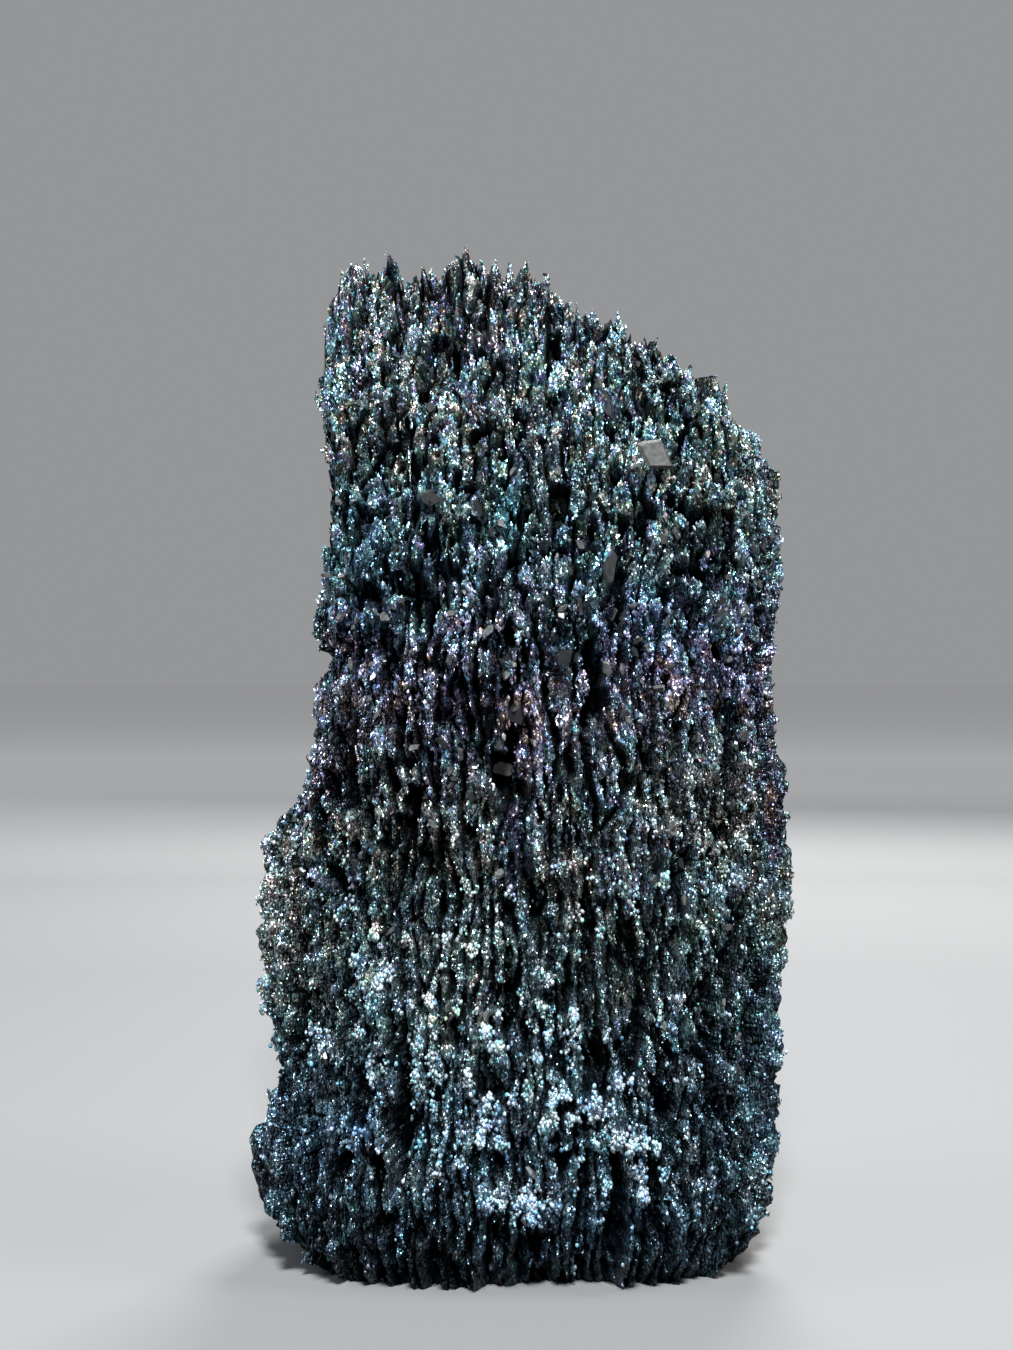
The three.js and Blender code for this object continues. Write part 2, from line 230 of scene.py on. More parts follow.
class Drift:
    """Smooth random values from -1 to 1 over a sheet that closes on itself."""

    def __init__(self, size, pitch):
        self.counts = np.maximum(np.round(np.array(size) / pitch).astype(int), 2)
        self.pitch = np.array(size) / self.counts
        self.knots = rng.uniform(-1, 1, tuple(self.counts))

    def at(self, u, v):
        """The values at places on the sheet."""
        pu, pv = u / self.pitch[0], v / self.pitch[1]
        iu, iv = np.floor(pu).astype(int), np.floor(pv).astype(int)
        fu, fv = pu - iu, pv - iv
        fu, fv = fu * fu * (3 - 2 * fu), fv * fv * (3 - 2 * fv)
        nu, nv = self.counts
        left, right, lower, upper = iu % nu, (iu + 1) % nu, iv % nv, (iv + 1) % nv
        low = self.knots[left, lower] * (1 - fu) + self.knots[right, lower] * fu
        high = self.knots[left, upper] * (1 - fu) + self.knots[right, upper] * fu
        return low * (1 - fv) + high * fv


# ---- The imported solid, to grow on ----

def solid_tree():
    """The node's surface in millimetres, for casting rays at."""
    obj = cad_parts[NODE]
    mesh = obj.data
    mesh.calc_loop_triangles()
    points = np.empty(len(mesh.vertices) * 3)
    mesh.vertices.foreach_get("co", points)
    turn = np.array(obj.matrix_world)
    points = (points.reshape(-1, 3) @ turn[:3, :3].T + turn[:3, 3]) / MM
    faces = np.empty(len(mesh.loop_triangles) * 3, dtype=np.int64)
    mesh.loop_triangles.foreach_get("vertices", faces)
    return BVHTree.FromPolygons(points.tolist(), faces.reshape(-1, 3).tolist())


class Girdle:
    """The squared-off oval round the solid, by the distance travelled along it from the right side."""

    def __init__(self):
        angle = np.linspace(0, 2 * math.pi, GIRDLE_POINTS)
        c, s = np.cos(angle), np.sin(angle)
        reach = (np.abs(c) ** PLAN_POWER + np.abs(s) ** PLAN_POWER) ** (-1 / PLAN_POWER)
        self.points = np.stack([c * reach, s * reach], 1) * HALF_PLAN
        steps = np.linalg.norm(np.diff(self.points, axis=0), axis=1)
        self.along = np.concatenate([[0], np.cumsum(steps)])
        self.length = self.along[-1]

    def place(self, arc):
        """The point at a distance along the girdle."""
        arc = arc % self.length
        return np.stack([np.interp(arc, self.along, self.points[:, k]) for k in (0, 1)], -1)

    def normal(self, arc):
        """The way outwards at a distance along the girdle."""
        place = self.place(arc)
        normal = np.sign(place) * (np.abs(place) / HALF_PLAN) ** (PLAN_POWER - 1) / HALF_PLAN
        return normal / np.linalg.norm(normal, axis=-1, keepdims=True)

    def arc_of(self, x, y):
        """The distance along the girdle of its point nearest a place."""
        return self.along[np.argmin(np.hypot(self.points[:, 0] - x, self.points[:, 1] - y))]


girdle = Girdle()
tree = solid_tree()


def crown_height(x, y):
    """The solid's height at a place of its plan, or nothing where that is below the crown."""
    hit = tree.ray_cast(Vector((x, y, SKY)), Vector((0, 0, -1)))[0]
    return hit.z if hit is not None and hit.z > CROWN_LOWEST else math.nan


def slope_depth(x, z):
    """How far back the solid lies at a place of its front, or nothing where it is missing."""
    hit = tree.ray_cast(Vector((x, BEFORE_FRONT, z)), Vector((0, 1, 0)))[0]
    return hit.y if hit is not None else math.nan


def grid_value(grid, step, u, v):
    """Values between the points of a regular grid, held just inside its last line."""
    last = np.array(grid.shape) - 1.001
    pu, pv = np.clip(u / step[0], 0, last[0]), np.clip(v / step[1], 0, last[1])
    iu, iv = pu.astype(int), pv.astype(int)
    fu, fv = pu - iu, pv - iv
    low = grid[iu, iv] * (1 - fu) + grid[iu + 1, iv] * fu
    high = grid[iu, iv + 1] * (1 - fu) + grid[iu + 1, iv + 1] * fu
    return low * (1 - fv) + high * fv


class WallMap:
    """How far in from the girdle the solid's side lies, and how high it goes."""

    def __init__(self):
        self.count = round(girdle.length / MAP_STEP)
        self.step = (girdle.length / self.count, MAP_STEP)
        arcs = np.arange(self.count + 1) * self.step[0]
        heights = np.arange(0, HEIGHT + MAP_STEP, MAP_STEP)
        places, normals = girdle.place(arcs), girdle.normal(arcs)
        self.depth = np.zeros((self.count + 1, len(heights)))
        self.top = np.zeros(self.count + 1)
        for i in range(self.count):
            start, inward = places[i] + normals[i] * STAND_OFF, Vector((*-normals[i], 0))
            depths = []
            for z in heights:
                hit = tree.ray_cast(Vector((*start, max(z, RAY_LOWEST))), inward, RAY_REACH)
                nearest = min(depths[-LIP_ROWS:], default=0)
                if hit[0] is None or (z > CROWN_LOWEST and hit[3] - STAND_OFF > nearest + LIP_START):
                    break
                depths.append(hit[3] - STAND_OFF)
            self.top[i] = heights[len(depths) - 1]
            self.depth[i] = np.pad(depths, (0, len(heights) - len(depths)), mode="edge")
        self.depth[-1], self.top[-1] = self.depth[0], self.top[0]

    def look(self, arc, z):
        """Depth and top at places on the wall."""
        arc = arc % girdle.length
        top = np.interp(arc, np.arange(self.count + 1) * self.step[0], self.top)
        return grid_value(self.depth, self.step, arc, np.minimum(z, top)), top


class PlaneMap:
    """Values measured at every step of a plane between two corners."""

    def __init__(self, low, high, measure):
        self.low = low
        counts = ((high - low) / MAP_STEP).astype(int) + 1
        places = [low + np.array(at) * MAP_STEP for at in np.ndindex(*counts)]
        self.values = np.array([measure(*place) for place in places]).reshape(counts)

    def look(self, u, v):
        """The values at places of the plane."""
        return grid_value(self.values, (MAP_STEP, MAP_STEP), u - self.low[0], v - self.low[1])


class CrownMap(PlaneMap):
    """Height of the solid's crown, which stops short of its deeper ledges and bends down at its rim."""

    def __init__(self):
        super().__init__(BOX_LOW[:2] - CROWN_EDGE, BOX_HIGH[:2] + CROWN_EDGE, crown_height)
        self.values[self.values < self.highest_near(LEDGE_STEPS) - LEDGE_DROP] = np.nan
        rim = np.isnan(self.values)
        for _ in range(RIM_STEPS):
            beside = [np.roll(rim, turn, axis) for turn in (-1, 1) for axis in (0, 1)]
            rim = np.any([rim, *beside], axis=0)
            self.values -= RIM_DROP * rim

    def highest_near(self, reach):
        """The greatest height within so many steps each way."""
        shifts = [(a, b) for a in range(-reach, reach + 1) for b in range(-reach, reach + 1)]
        return np.fmax.reduce([np.roll(self.values, shift, (0, 1)) for shift in shifts])


class SlopeMap(PlaneMap):
    """How far back the solid's front lies above the foot of the crown, a little in from its outline."""

    def __init__(self):
        super().__init__(np.array([BOX_LOW[0], SLOPE_FOOT]), np.array([BOX_HIGH[0], HEIGHT]), slope_depth)
        for line in self.values.T:
            met = np.flatnonzero(~np.isnan(line))
            if len(met):
                line[:met[0] + SLOPE_INSET] = np.nan
                line[met[-1] + 1 - SLOPE_INSET:] = np.nan


# ---- The top's outline ----

# The photograph's camera: where it stands, its focal length and the middle of its view, in pixels.
EYE = (-2.3, -327.0, 99.0)
FOCAL_PIXELS = 1900.0
LONG_SIDE_PIXELS = 1350.0
VIEW_MIDDLE = (506.5, 675.0)

# Outline of the top in the photograph, read from an enlargement: pixels across and down.
SKYLINE_PIXELS = [
    (308, 346), (318, 308), (332, 296), (337, 273), (349, 278), (357, 263), (367, 252), (373, 270),
    (383, 259), (401, 260), (407, 282), (425, 273), (445, 282), (448, 268), (465, 252), (473, 264),
    (485, 256), (497, 259), (503, 273), (512, 259), (521, 274), (531, 272), (538, 284), (548, 282),
    (555, 302), (566, 307), (575, 298), (582, 314), (597, 319), (629, 314), (635, 338), (650, 343),
    (655, 354), (662, 345), (674, 362), (684, 374), (697, 372), (702, 388), (712, 376), (728, 386),
    (738, 408), (752, 428), (767, 437), (785, 470),
]

# How far behind the middle the crest stands: up to a pixel across, and how it comes forward past that.
CREST_DEPTH = 14.0
CREST_TURN = 560
CREST_COMES = 0.067


def skyline_outline():
    """The outline of the top at the depth of its crest: x and z."""
    across, down = np.array(SKYLINE_PIXELS, float).T
    depth = CREST_DEPTH - CREST_COMES * np.maximum(across - CREST_TURN, 0)
    scale = (depth - EYE[1]) / FOCAL_PIXELS
    return EYE[0] + (across - VIEW_MIDDLE[0]) * scale, EYE[2] + (VIEW_MIDDLE[1] - down) * scale


class Skyline:
    """The outline of the solid's top from the front, and how far to move it to the photograph's."""

    def __init__(self):
        self.x = np.arange(BOX_LOW[0], BOX_HIGH[0], MAP_STEP)
        depths = np.arange(BOX_LOW[1], BOX_HIGH[1], MAP_STEP)
        top = np.array([np.fmax.reduce([crown_height(x, y) for y in depths]) for x in self.x])
        met = ~np.isnan(top)
        self.top = np.interp(self.x, self.x[met], top[met])
        self.outline = skyline_outline()
        wanted = np.interp(self.x, *self.outline)
        self.shift = np.clip((wanted - self.top) * SKYLINE_EVENING, -SKYLINE_MOST, SKYLINE_MOST)

    def moved(self, points):
        """The points, with those near the skyline raised or lowered to the outline."""
        top = np.interp(points[..., 0], self.x, self.top)
        shift = np.interp(points[..., 0], self.x, self.shift)
        share = np.clip((points[..., 2] - top + SKYLINE_REACH) / SKYLINE_REACH, 0, 1)
        points[..., 2] += shift * share
        wanted = np.interp(points[..., 0], *self.outline)
        points[..., 2] -= np.maximum(points[..., 2] - wanted - SKYLINE_FREE, 0) * SKYLINE_PRESS
        return points


# ---- Crust ----

SHEET_SPARE = 10
SHEET = (girdle.length, HEIGHT + SHEET_SPARE)
SLOPE_SHEET = (BOX_HIGH[0] * 2 + SHEET_SPARE, HEIGHT)
PLAN_SHEET = HALF_PLAN * 2 + SHEET_SPARE

# The wall's sheets, with the width and height of their cells.
ropes = Cells(SHEET, (2.15, 10.0))
bundles = Cells(SHEET, (3.7, 13.0))
strands = Cells(SHEET, (0.8, 4.2))
clumps = Cells(SHEET, (1.35, 2.2))
beads = Cells(SHEET, (0.62, 1.05))
sway = Drift(SHEET, (5.0, 9.0))
flutter = Drift(SHEET, (1.6, 2.6))
patches = Drift(SHEET, (9.0, 13.0))
# Patches of painted light and shade.
light_patches = Drift(SHEET, (2.6, 3.8))

# The front slope's sheets.
tips = Cells(SLOPE_SHEET, (2.5, 4.6))
tip_clumps = Cells(SLOPE_SHEET, (1.4, 2.3))
slope_sway = Drift(SLOPE_SHEET, (5.0, 6.0))
# Patches of painted light and shade on the slope.
slope_light_patches = Drift(SLOPE_SHEET, (2.8, 3.6))

# The crown's sheets.
spires = Cells(PLAN_SHEET, (2.3, 2.3))
needles = Cells(PLAN_SHEET, (1.0, 1.0))
crumbs = Cells(PLAN_SHEET, (0.5, 0.5))
crown_sway = Drift(PLAN_SHEET, (6.0, 6.0))
crown_patches = Drift(PLAN_SHEET, (11.0, 9.0))

# Clusters of the front with painted light: x, z, half-width, half-height, strength.
FRONT_LIT = [
    (1.6, 15, 3.4, 3.4, 1), (-3.6, 15.5, 3.2, 2.2, 0.85), (19.6, 17, 1.6, 1.6, 0.7),
    (6.5, 31.5, 3.5, 2.5, 0.75), (12.5, 30.5, 3.5, 2.5, 0.75), (21, 25, 5.5, 2.6, 0.75),
    (8.7, 43, 2.2, 2.2, 0.6), (12.6, 33, 3, 2.5, 0.7), (16.6, 34.5, 2.2, 2, 0.7),
    (38, 10.5, 1.8, 2, 0.6), (37, 27, 1.8, 1.8, 0.6), (-9.5, 46, 2.5, 2.5, 0.45),
    (-23.7, 47.5, 2.4, 2.2, 0.45), (-30.8, 39.5, 2.4, 2.4, 0.4), (-25.5, 26, 1.6, 1.6, 0.6),
    (4.7, 51.5, 2, 2.6, 0.55), (-9.5, 21.5, 1.8, 1.8, 0.5), (-15.8, 17.5, 1.6, 1.8, 0.4),
    (26.7, 124, 2.4, 1.6, 0.8), (-24.8, 134, 1.2, 1.2, 0.8), (-27, 162.5, 0.8, 1.8, 0.7),
    (10.5, 24.5, 9, 4, 0.3),
]

# Areas of the front with painted shade, and with painted light where the strength is below nought: x, z,
# half-width, half-height, strength.
FRONT_SHADED = [
    (38, 30, 17, 32, 0.5), (-38, 22, 13, 22, 0.35), (-30, 12, 18, 8, 0.35),
    (16, 8, 22, 6, 0.3), (0, 98, 45, 17, -0.22), (-8, 133, 14, 6, 0.2),
    (16, 122, 14, 4, 0.25), (44, 80, 4, 26, 0.5), (-40, 62, 6, 9, 0.3),
    (-10, 172, 30, 4, 0.4), (8, 164, 8, 4, 0.3), (-10, 163, 40, 8, 0.25),
    (0, 72, 50, 9, 0.14), (0, 9, 50, 6, 0.15), (0, 147, 40, 8, -0.14),
    (0, 29, 40, 7, -0.1), (0, 42, 40, 7, -0.1), (0, 58, 50, 8, 0.08),
]

# Tinted areas of the front: x, z, half-width, half-height, film thickness, strength.
FRONT_TINTS = [
    (-1.6, 124, 3, 7, 0.64, 0.9), (-24, 116, 8, 12, 0.58, 0.5),
    (-33, 155, 5, 9, 0.5, 0.5), (-10.3, 96, 5, 4, 0.38, 0.6),
    (-14.2, 86.5, 4.5, 3.5, 0.34, 0.6), (0, 89, 4, 8, 0.15, 0.6),
    (-1.6, 71.5, 3.5, 8, 0.15, 0.6), (20.5, 106, 9, 7, 0.5, 0.6),
    (33, 100, 5, 6, 0.42, 0.65), (12.6, 79, 4, 3.5, 0.52, 0.6),
    (-26, 27, 2.5, 2.5, 0.5, 1), (-36, 22, 7, 9, 0.5, 0.5),
    (14, 11, 14, 5, 0.49, 0.5), (41.9, 76, 2.5, 10, 0.14, 0.9),
    (30, 143, 15, 13, 0.86, 0.3), (-27, 65, 12, 7, 0.1, 0.35),
    (22, 68, 10, 6, 0.1, 0.35), (40, 40, 5, 14, 0.49, 0.5),
    (5, 152, 4, 5, 0.86, 0.35), (-21, 170, 3, 3, 0.97, 0.5),
    (37, 130, 4, 4, 0.8, 0.4),
]

# Deep dark gaps of the front, and one swelling below nought: x, z, width, height, depth.
FRONT_GAPS = [
    (-19.4, 113.9, 6.8, 3.2, 4.5), (-17, 108.9, 2.2, 7, 4), (-24.9, 125, 2.6, 3.6, 4),
    (2.4, 117.6, 3.2, 4.4, 4.5), (-25.4, 110.8, 1.8, 15, 4), (11.8, 97.3, 2.2, 18, 4.5),
    (31.4, 119.6, 2, 9, 4), (18.1, 122.3, 4, 3, 4), (10.5, 121, 4.4, 3.6, 4.5),
    (-32.5, 65.3, 1.8, 6.4, 3.5), (8, 26.5, 8, 5, -2.5), (-18.2, 78.5, 2.2, 5, 3.5),
    (3, 62.9, 2.4, 6, 4), (32.2, 45.8, 1.8, 15, 4), (-19.9, 25.6, 2.6, 21, 4),
    (-29.5, 20, 2.2, 7, 3.5), (-2.4, 83.2, 6, 5, 3.5), (24.6, 31, 1.6, 8.4, 3.5),
    (-5.2, 137.2, 6.6, 2.6, 5), (-2.8, 134, 2.8, 5, 5), (-10, 129.8, 4.6, 2.4, 4),
]

# Largest flat crystals of the front: x, z, width, height, turn, lean sideways and up, how deep they sit.
FRONT_PLATES = [
    (21.8, 134.3, 5, 7.6, 0.85, 0.35, 0, -2.7), (-14.2, 127, 2.8, 4.6, 1.3, 0.1, -0.25, -0.5),
    (-6.6, 125.5, 2.6, 4.4, 0.2, -0.3, -0.1, -0.3), (-10.6, 127.4, 2.8, 2.6, 0.5, 0.1, -0.1, -0.2),
    (31.9, 110, 3.8, 4.6, 0.3, 0.3, 0, -0.6), (28, 112.2, 3, 3, 0.8, -0.2, -0.1, -0.3),
    (6.8, 101.7, 3.2, 2.8, 0.4, 0.3, -0.1, -0.6), (-0.8, 92.7, 3, 4.2, 0.3, -0.3, -0.1, -0.3),
    (-2.6, 83.6, 3.4, 4.8, 1.4, -0.1, 0, -1.5), (34.8, 33.7, 3.2, 4.4, -0.2, 0.3, 0.1, -0.1),
    (14, 116, 2.6, 6, -0.1, 0.3, 0, -0.6), (41.5, 62.8, 2.4, 3.2, 0.2, 0.5, 0, 0),
    (9.2, 110.1, 2.5, 3.6, 0.4, -0.2, -0.1, -0.2), (-30.2, 112.5, 2, 4.6, 0.5, -0.1, 0, -0.2),
    (16.5, 106, 2.4, 3.4, 0.2, 0.2, -0.1, -0.3), (-27, 97, 2.4, 2.4, 0.7, 0, -0.1, -0.1),
    (14.5, 143.6, 1.8, 7, 0.3, -0.5, 0.2, -0.8), (40, 121.3, 2.4, 4.4, 0.1, 0.5, 0, -0.2),
]

# How far back the front's tables reach: y.
FRONT_ENDS = 12.0

# Wandering of the ropes: sideways over long and short ways, and upwards.
ROPE_SWAY = 0.9
ROPE_FLUTTER = 0.35
ROPE_CLIMB = 1.2

# Ropes: width of a seam as a share of a cell, and the depths of the shallowest and deepest seams.
FINE_SEAMS = (0.3, (0.9, 3.1))
COARSE_SEAMS = (0.22, (1.6, 4.2))
SEAM_POWER = 1.4
ROPE_ROUND = 1.2
ROPE_UNEVEN = 1.2
ROPE_OVERHANG = 0.6
SUNK_SHARE = 0.05
SUNK_DEPTH = 2.4
WALL_SET_BACK = 0.55
COARSE_SHARE = 0.85
ROUGH_LOSS = 0.4

# Strands on the ropes, and the slots left where one is missing, with painted shade in the slots.
STRAND_HEIGHT = 0.55
STRAND_LEAST = 0.3
STRAND_REACH = 0.7
SLOT_SHARE = 0.15
SLOT_DEPTH = 2.2
SLOT_ROUGHER = 0.8
SLOT_DARKER = 0.7

# Clumps and beads: least height, how much higher the largest are, and how far they reach.
WALL_CLUMPS = (0.25, 1.3)
SLOPE_CLUMPS = (0.2, 1.5)
CLUMP_REACH = 0.72
CLUMP_BY_SEAM = 0.35
ROUGH_CLUMPS = 0.3
BEAD_HEIGHT = (0.12, 0.3)
BEAD_REACH = 0.68
BEAD_LIT = 0.62
BEAD_FLUTTER = 0.2

# Painted light on clumps, and painted light and shade over them: from bead to bead, clump to clump, in
# patches and at seams.
GLOW_LEAST = 0.1
GLOW_SLOPE_LEAST = 0.08
GLOW_RARE = 0.5
GLOW_BY_SIZE = 0.3
GLOW_DRIFT = 0.18
GLOW_SLOPE_DRIFT = 0.16
GLOW_SLOPE_WIDER = 0.5
GLOW_MOST = 0.6
SHADE_BY_BEAD = (0.35, 0.65)
LIGHT_BY_CLUMP = (0.3, 1.4)
LIGHT_PATCH_AMOUNT = 0.5
WALL_BY_SEAM = (0.3, 0.8)
SLOPE_BY_SEAM = (0.4, 0.65)

# The slope's tips: width and depths of their seams, and the pits between them, fewer above a height.
TIP_SEAM = 0.32
TIP_SEAM_POWER = 1.3
TIP_DEPTHS = (0.9, 3.0)
TIP_PROUD = 0.2
TIP_UNEVEN = 2.0
TIP_OVERHANG = 1.6
PIT_SHARE = (0.12, 0.16)
PIT_DEPTH = 3.2
PITS_BELOW = 140.0
PITS_FADE = 15.0
HOLE_SHARE = 0.1
HOLE_DEPTH = 1.6

# The crown's spires, needles and crumbs, with painted light on them and painted shade off the crumbs.
SPIRE_SEAM = 0.45
SPIRE_DEPTHS = (0.6, 1.6)
SPIRE_HEIGHTS = (0.6, 1.6)
SPIRE_REACH = 0.85
NEEDLE_HEIGHTS = (0.3, 1.2)
NEEDLE_REACH = 0.8
NEEDLE_SEAM = 0.12
NEEDLE_DEPTH = 0.5
CRUMB_HEIGHT = 0.5
CRUMB_REACH = 0.7
CROWN_SET_BACK = 1.2
CROWN_SWAY = 0.8
CROWN_GLOW_LEAST = 0.1
CROWN_GLOW_RARE = 0.5
CROWN_GLOW_DRIFT = 0.16
CROWN_GLOW_BY_SIZE = 0.25
CROWN_BY_CRUMB = (0.4, 0.6)

# Painted shade by depth: the depth that is painted black, the rise to full light, and the curve between.
SHADE_DEEPEST = 2.0
SHADE_RISE = 2.3
SHADE_POWER = 1.4

# Edges of the front's gaps: how they wander, how far out they lie, how ragged and how steep.
GAP_SWAY = (1.1, 2.5)
GAP_REACH = 0.9
GAP_RAGGED = 1.7
GAP_STEEPNESS = 3


def dome(far, reach):
    """A rounded bump: 1 at its middle, 0 from its reach outwards."""
    return np.clip(1 - (far / reach) ** 2, 0, 1)


def cone(far, reach):
    """A pointed bump: 1 at its middle, 0 from its reach outwards."""
    return np.clip(1 - far / reach, 0, 1)


def between(span, share):
    """Values from the first number of a span, rising by the second."""
    return span[0] + span[1] * share


def cracked(cells, u, v, width, depths):
    """Rounded lengths with dark seams between them: their height, and how far from a seam."""
    _, gap, across, up, value = cells.nearest(u, v)
    seam = np.clip(gap / width, 0, 1)
    low, high = depths
    relief = -(1 - seam) ** SEAM_POWER * (low + (high - low) * value[..., 0]) - ROPE_ROUND * across ** 2
    relief += (value[..., 1] - 0.5) * ROPE_UNEVEN - SUNK_DEPTH * (value[..., 1] < SUNK_SHARE)
    return relief + ROPE_OVERHANG * up, seam


def clumped(cells, u, v, heights, seam):
    """Rounded clumps, lower beside seams: their height and their random values."""
    far, _, _, _, clump = cells.nearest(u, v)
    rise = between(heights, clump[..., 0] ** 2) * dome(far, CLUMP_REACH)
    return rise * (CLUMP_BY_SEAM + (1 - CLUMP_BY_SEAM) * seam), clump


def beaded(u, v):
    """Small beads: their height, and how near the middle of one each place is."""
    far, _, _, _, bead = beads.nearest(u, v)
    return between(BEAD_HEIGHT, bead[..., 0]) * dome(far, BEAD_REACH), dome(far, BEAD_LIT)


def painted_light_of(clump, least, drift):
    """Painted light on clumps: the larger ones a little, a few of them much, and all of them in patches."""
    painted_light = least + GLOW_RARE * clump[..., 1] ** 4 + drift + GLOW_BY_SIZE * (clump[..., 0] - 0.5)
    return np.clip(painted_light, 0, GLOW_MOST)


def painted_shading_of(lit, clump, blotch):
    """Painted shade from bead to bead, and painted light and shade from clump to clump and in patches."""
    return between(SHADE_BY_BEAD, lit) * between(LIGHT_BY_CLUMP, clump[..., 3]) * (1 + LIGHT_PATCH_AMOUNT * blotch)


def eased(relief):
    """The relief of a grid, evened a little from row to row upwards."""
    low, high = relief[:, np.r_[0, :relief.shape[1] - 1]], relief[:, np.r_[1:relief.shape[1], -1]]
    return (low + 2 * relief + high) / 4


def wall_relief(arc, z):
    """The crust of the solid's side: how far it stands out, its painted light, its fine painted light and
    shade, and raggedness.
    """
    rough = np.clip((z + ROUGH_SWAY * patches.at(arc, z) - ROUGH_FROM) / ROUGH_OVER, 0, 1)
    wave = arc + ROPE_SWAY * sway.at(arc, z) + ROPE_FLUTTER * flutter.at(arc, z)
    climb = z + ROPE_CLIMB * sway.at(z, arc)
    fine, fine_seam = cracked(ropes, wave, climb, *FINE_SEAMS)
    coarse, coarse_seam = cracked(bundles, wave, climb, *COARSE_SEAMS)
    relief = fine * (1 - ROUGH_LOSS * rough) + coarse * COARSE_SHARE * rough - WALL_SET_BACK
    seam = fine_seam * (1 - ROUGH_LOSS * rough) + coarse_seam * ROUGH_LOSS * rough
    far, _, _, _, strand = strands.nearest(wave, climb)
    relief += STRAND_HEIGHT * (STRAND_LEAST + strand[..., 0]) * dome(far, STRAND_REACH)
    slot = strand[..., 1] < SLOT_SHARE
    relief -= (SLOT_DEPTH + SLOT_ROUGHER * rough) * slot
    rise, clump = clumped(clumps, wave, z, WALL_CLUMPS, seam)
    bead_rise, lit = beaded(arc + BEAD_FLUTTER * flutter.at(z, arc), z)
    relief += rise * (1 - ROUGH_CLUMPS * rough) + bead_rise
    painted_light = painted_light_of(clump, GLOW_LEAST, GLOW_DRIFT * patches.at(arc, z))
    # Painted light and shade from bead to bead, from clump to clump and in patches, and painted shade at the
    # seams and in the slots.
    painted_shading = painted_shading_of(lit, clump, light_patches.at(arc, z)) * between(WALL_BY_SEAM, seam)
    painted_shading *= 1 - SLOT_DARKER * slot
    return eased(relief), painted_light, painted_shading, strand[..., 2] - 0.5


def slope_relief(x, z):
    """The crust of the crown's slope: how far it stands out, its painted light, its fine painted light and
    shade, and raggedness.
    """
    u, v = x + ROPE_SWAY * slope_sway.at(x, z), z + ROPE_CLIMB * slope_sway.at(z, x)
    far, gap, across, up, tip = tips.nearest(u, v)
    seam = np.clip(gap / TIP_SEAM, 0, 1)
    relief = TIP_PROUD - (1 - seam) ** TIP_SEAM_POWER * between(TIP_DEPTHS, tip[..., 0]) - across ** 2
    pitted = between(PIT_SHARE, np.clip((PITS_BELOW - z) / PITS_FADE, 0, 1))
    relief += (tip[..., 1] - 0.5) * TIP_UNEVEN - PIT_DEPTH * (tip[..., 1] < pitted) + TIP_OVERHANG * up
    rise, clump = clumped(tip_clumps, u, v, SLOPE_CLUMPS, seam)
    bead_rise, lit = beaded(x, z)
    relief += rise + bead_rise - HOLE_DEPTH * (clump[..., 3] < HOLE_SHARE)
    drift = GLOW_SLOPE_DRIFT * slope_sway.at(x * GLOW_SLOPE_WIDER, z * GLOW_SLOPE_WIDER)
    painted_light = painted_light_of(clump, GLOW_SLOPE_LEAST, drift)
    # Painted light and shade from bead to bead, from clump to clump and in patches, and painted shade at the
    # seams.
    painted_shading = painted_shading_of(lit, clump, slope_light_patches.at(x, z)) * between(SLOPE_BY_SEAM, seam)
    return relief, painted_light, painted_shading, clump[..., 2] - 0.5


def crown_relief(x, y):
    """The crust of the crown: how far it rises, its painted light, and its painted shade off the crumbs."""
    u, v = x + CROWN_SWAY * crown_sway.at(x, y), y + CROWN_SWAY * crown_sway.at(y, x)
    far, gap, _, _, spire = spires.nearest(u, v)
    seam = np.clip(gap / SPIRE_SEAM, 0, 1)
    relief = between(SPIRE_HEIGHTS, spire[..., 1] ** 2) * cone(far, SPIRE_REACH) - CROWN_SET_BACK
    relief -= (1 - seam) * between(SPIRE_DEPTHS, spire[..., 0])
    far, gap, _, _, needle = needles.nearest(u, v)
    relief += between(NEEDLE_HEIGHTS, needle[..., 0] ** 2) * cone(far, NEEDLE_REACH)
    relief -= NEEDLE_DEPTH * (gap < NEEDLE_SEAM)
    far, _, _, _, crumb = crumbs.nearest(x, y)
    relief += CRUMB_HEIGHT * crumb[..., 0] * dome(far, CRUMB_REACH)
    painted_light = CROWN_GLOW_LEAST + CROWN_GLOW_RARE * needle[..., 1] ** 5
    painted_light = painted_light + CROWN_GLOW_DRIFT * crown_patches.at(x, y) + CROWN_GLOW_BY_SIZE * (spire[..., 1] - 0.5)
    return relief, np.clip(painted_light, 0, GLOW_MOST), between(CROWN_BY_CRUMB, dome(far, BEAD_LIT))


def shade_of(relief):
    """Painted shade: darker the deeper the crust lies."""
    return np.clip((relief + SHADE_DEEPEST) / SHADE_RISE, 0, 1) ** SHADE_POWER


def front_gap(x, z, ragged):
    """How much deeper the front is in its dark gaps, whose edges follow the clumps."""
    depth = np.zeros(x.shape)
    sideways, upwards = GAP_SWAY
    u, v = x + sideways * flutter.at(x, z), z + upwards * flutter.at(z, x)
    for at_x, at_z, wide, high, deep in FRONT_GAPS:
        far = ((u - at_x) / (wide / 2)) ** 2 + ((v - at_z) / (high / 2)) ** 2
        depth += deep * np.clip((GAP_REACH + GAP_RAGGED * ragged - far) * GAP_STEEPNESS, 0, 1)
    return depth


def nearness(points, x, z, wide, high):
    """1 at a place of the front, falling away over a half-width and a half-height."""
    return np.exp(-(((points[..., 0] - x) / wide) ** 2 + ((points[..., 2] - z) / high) ** 2))


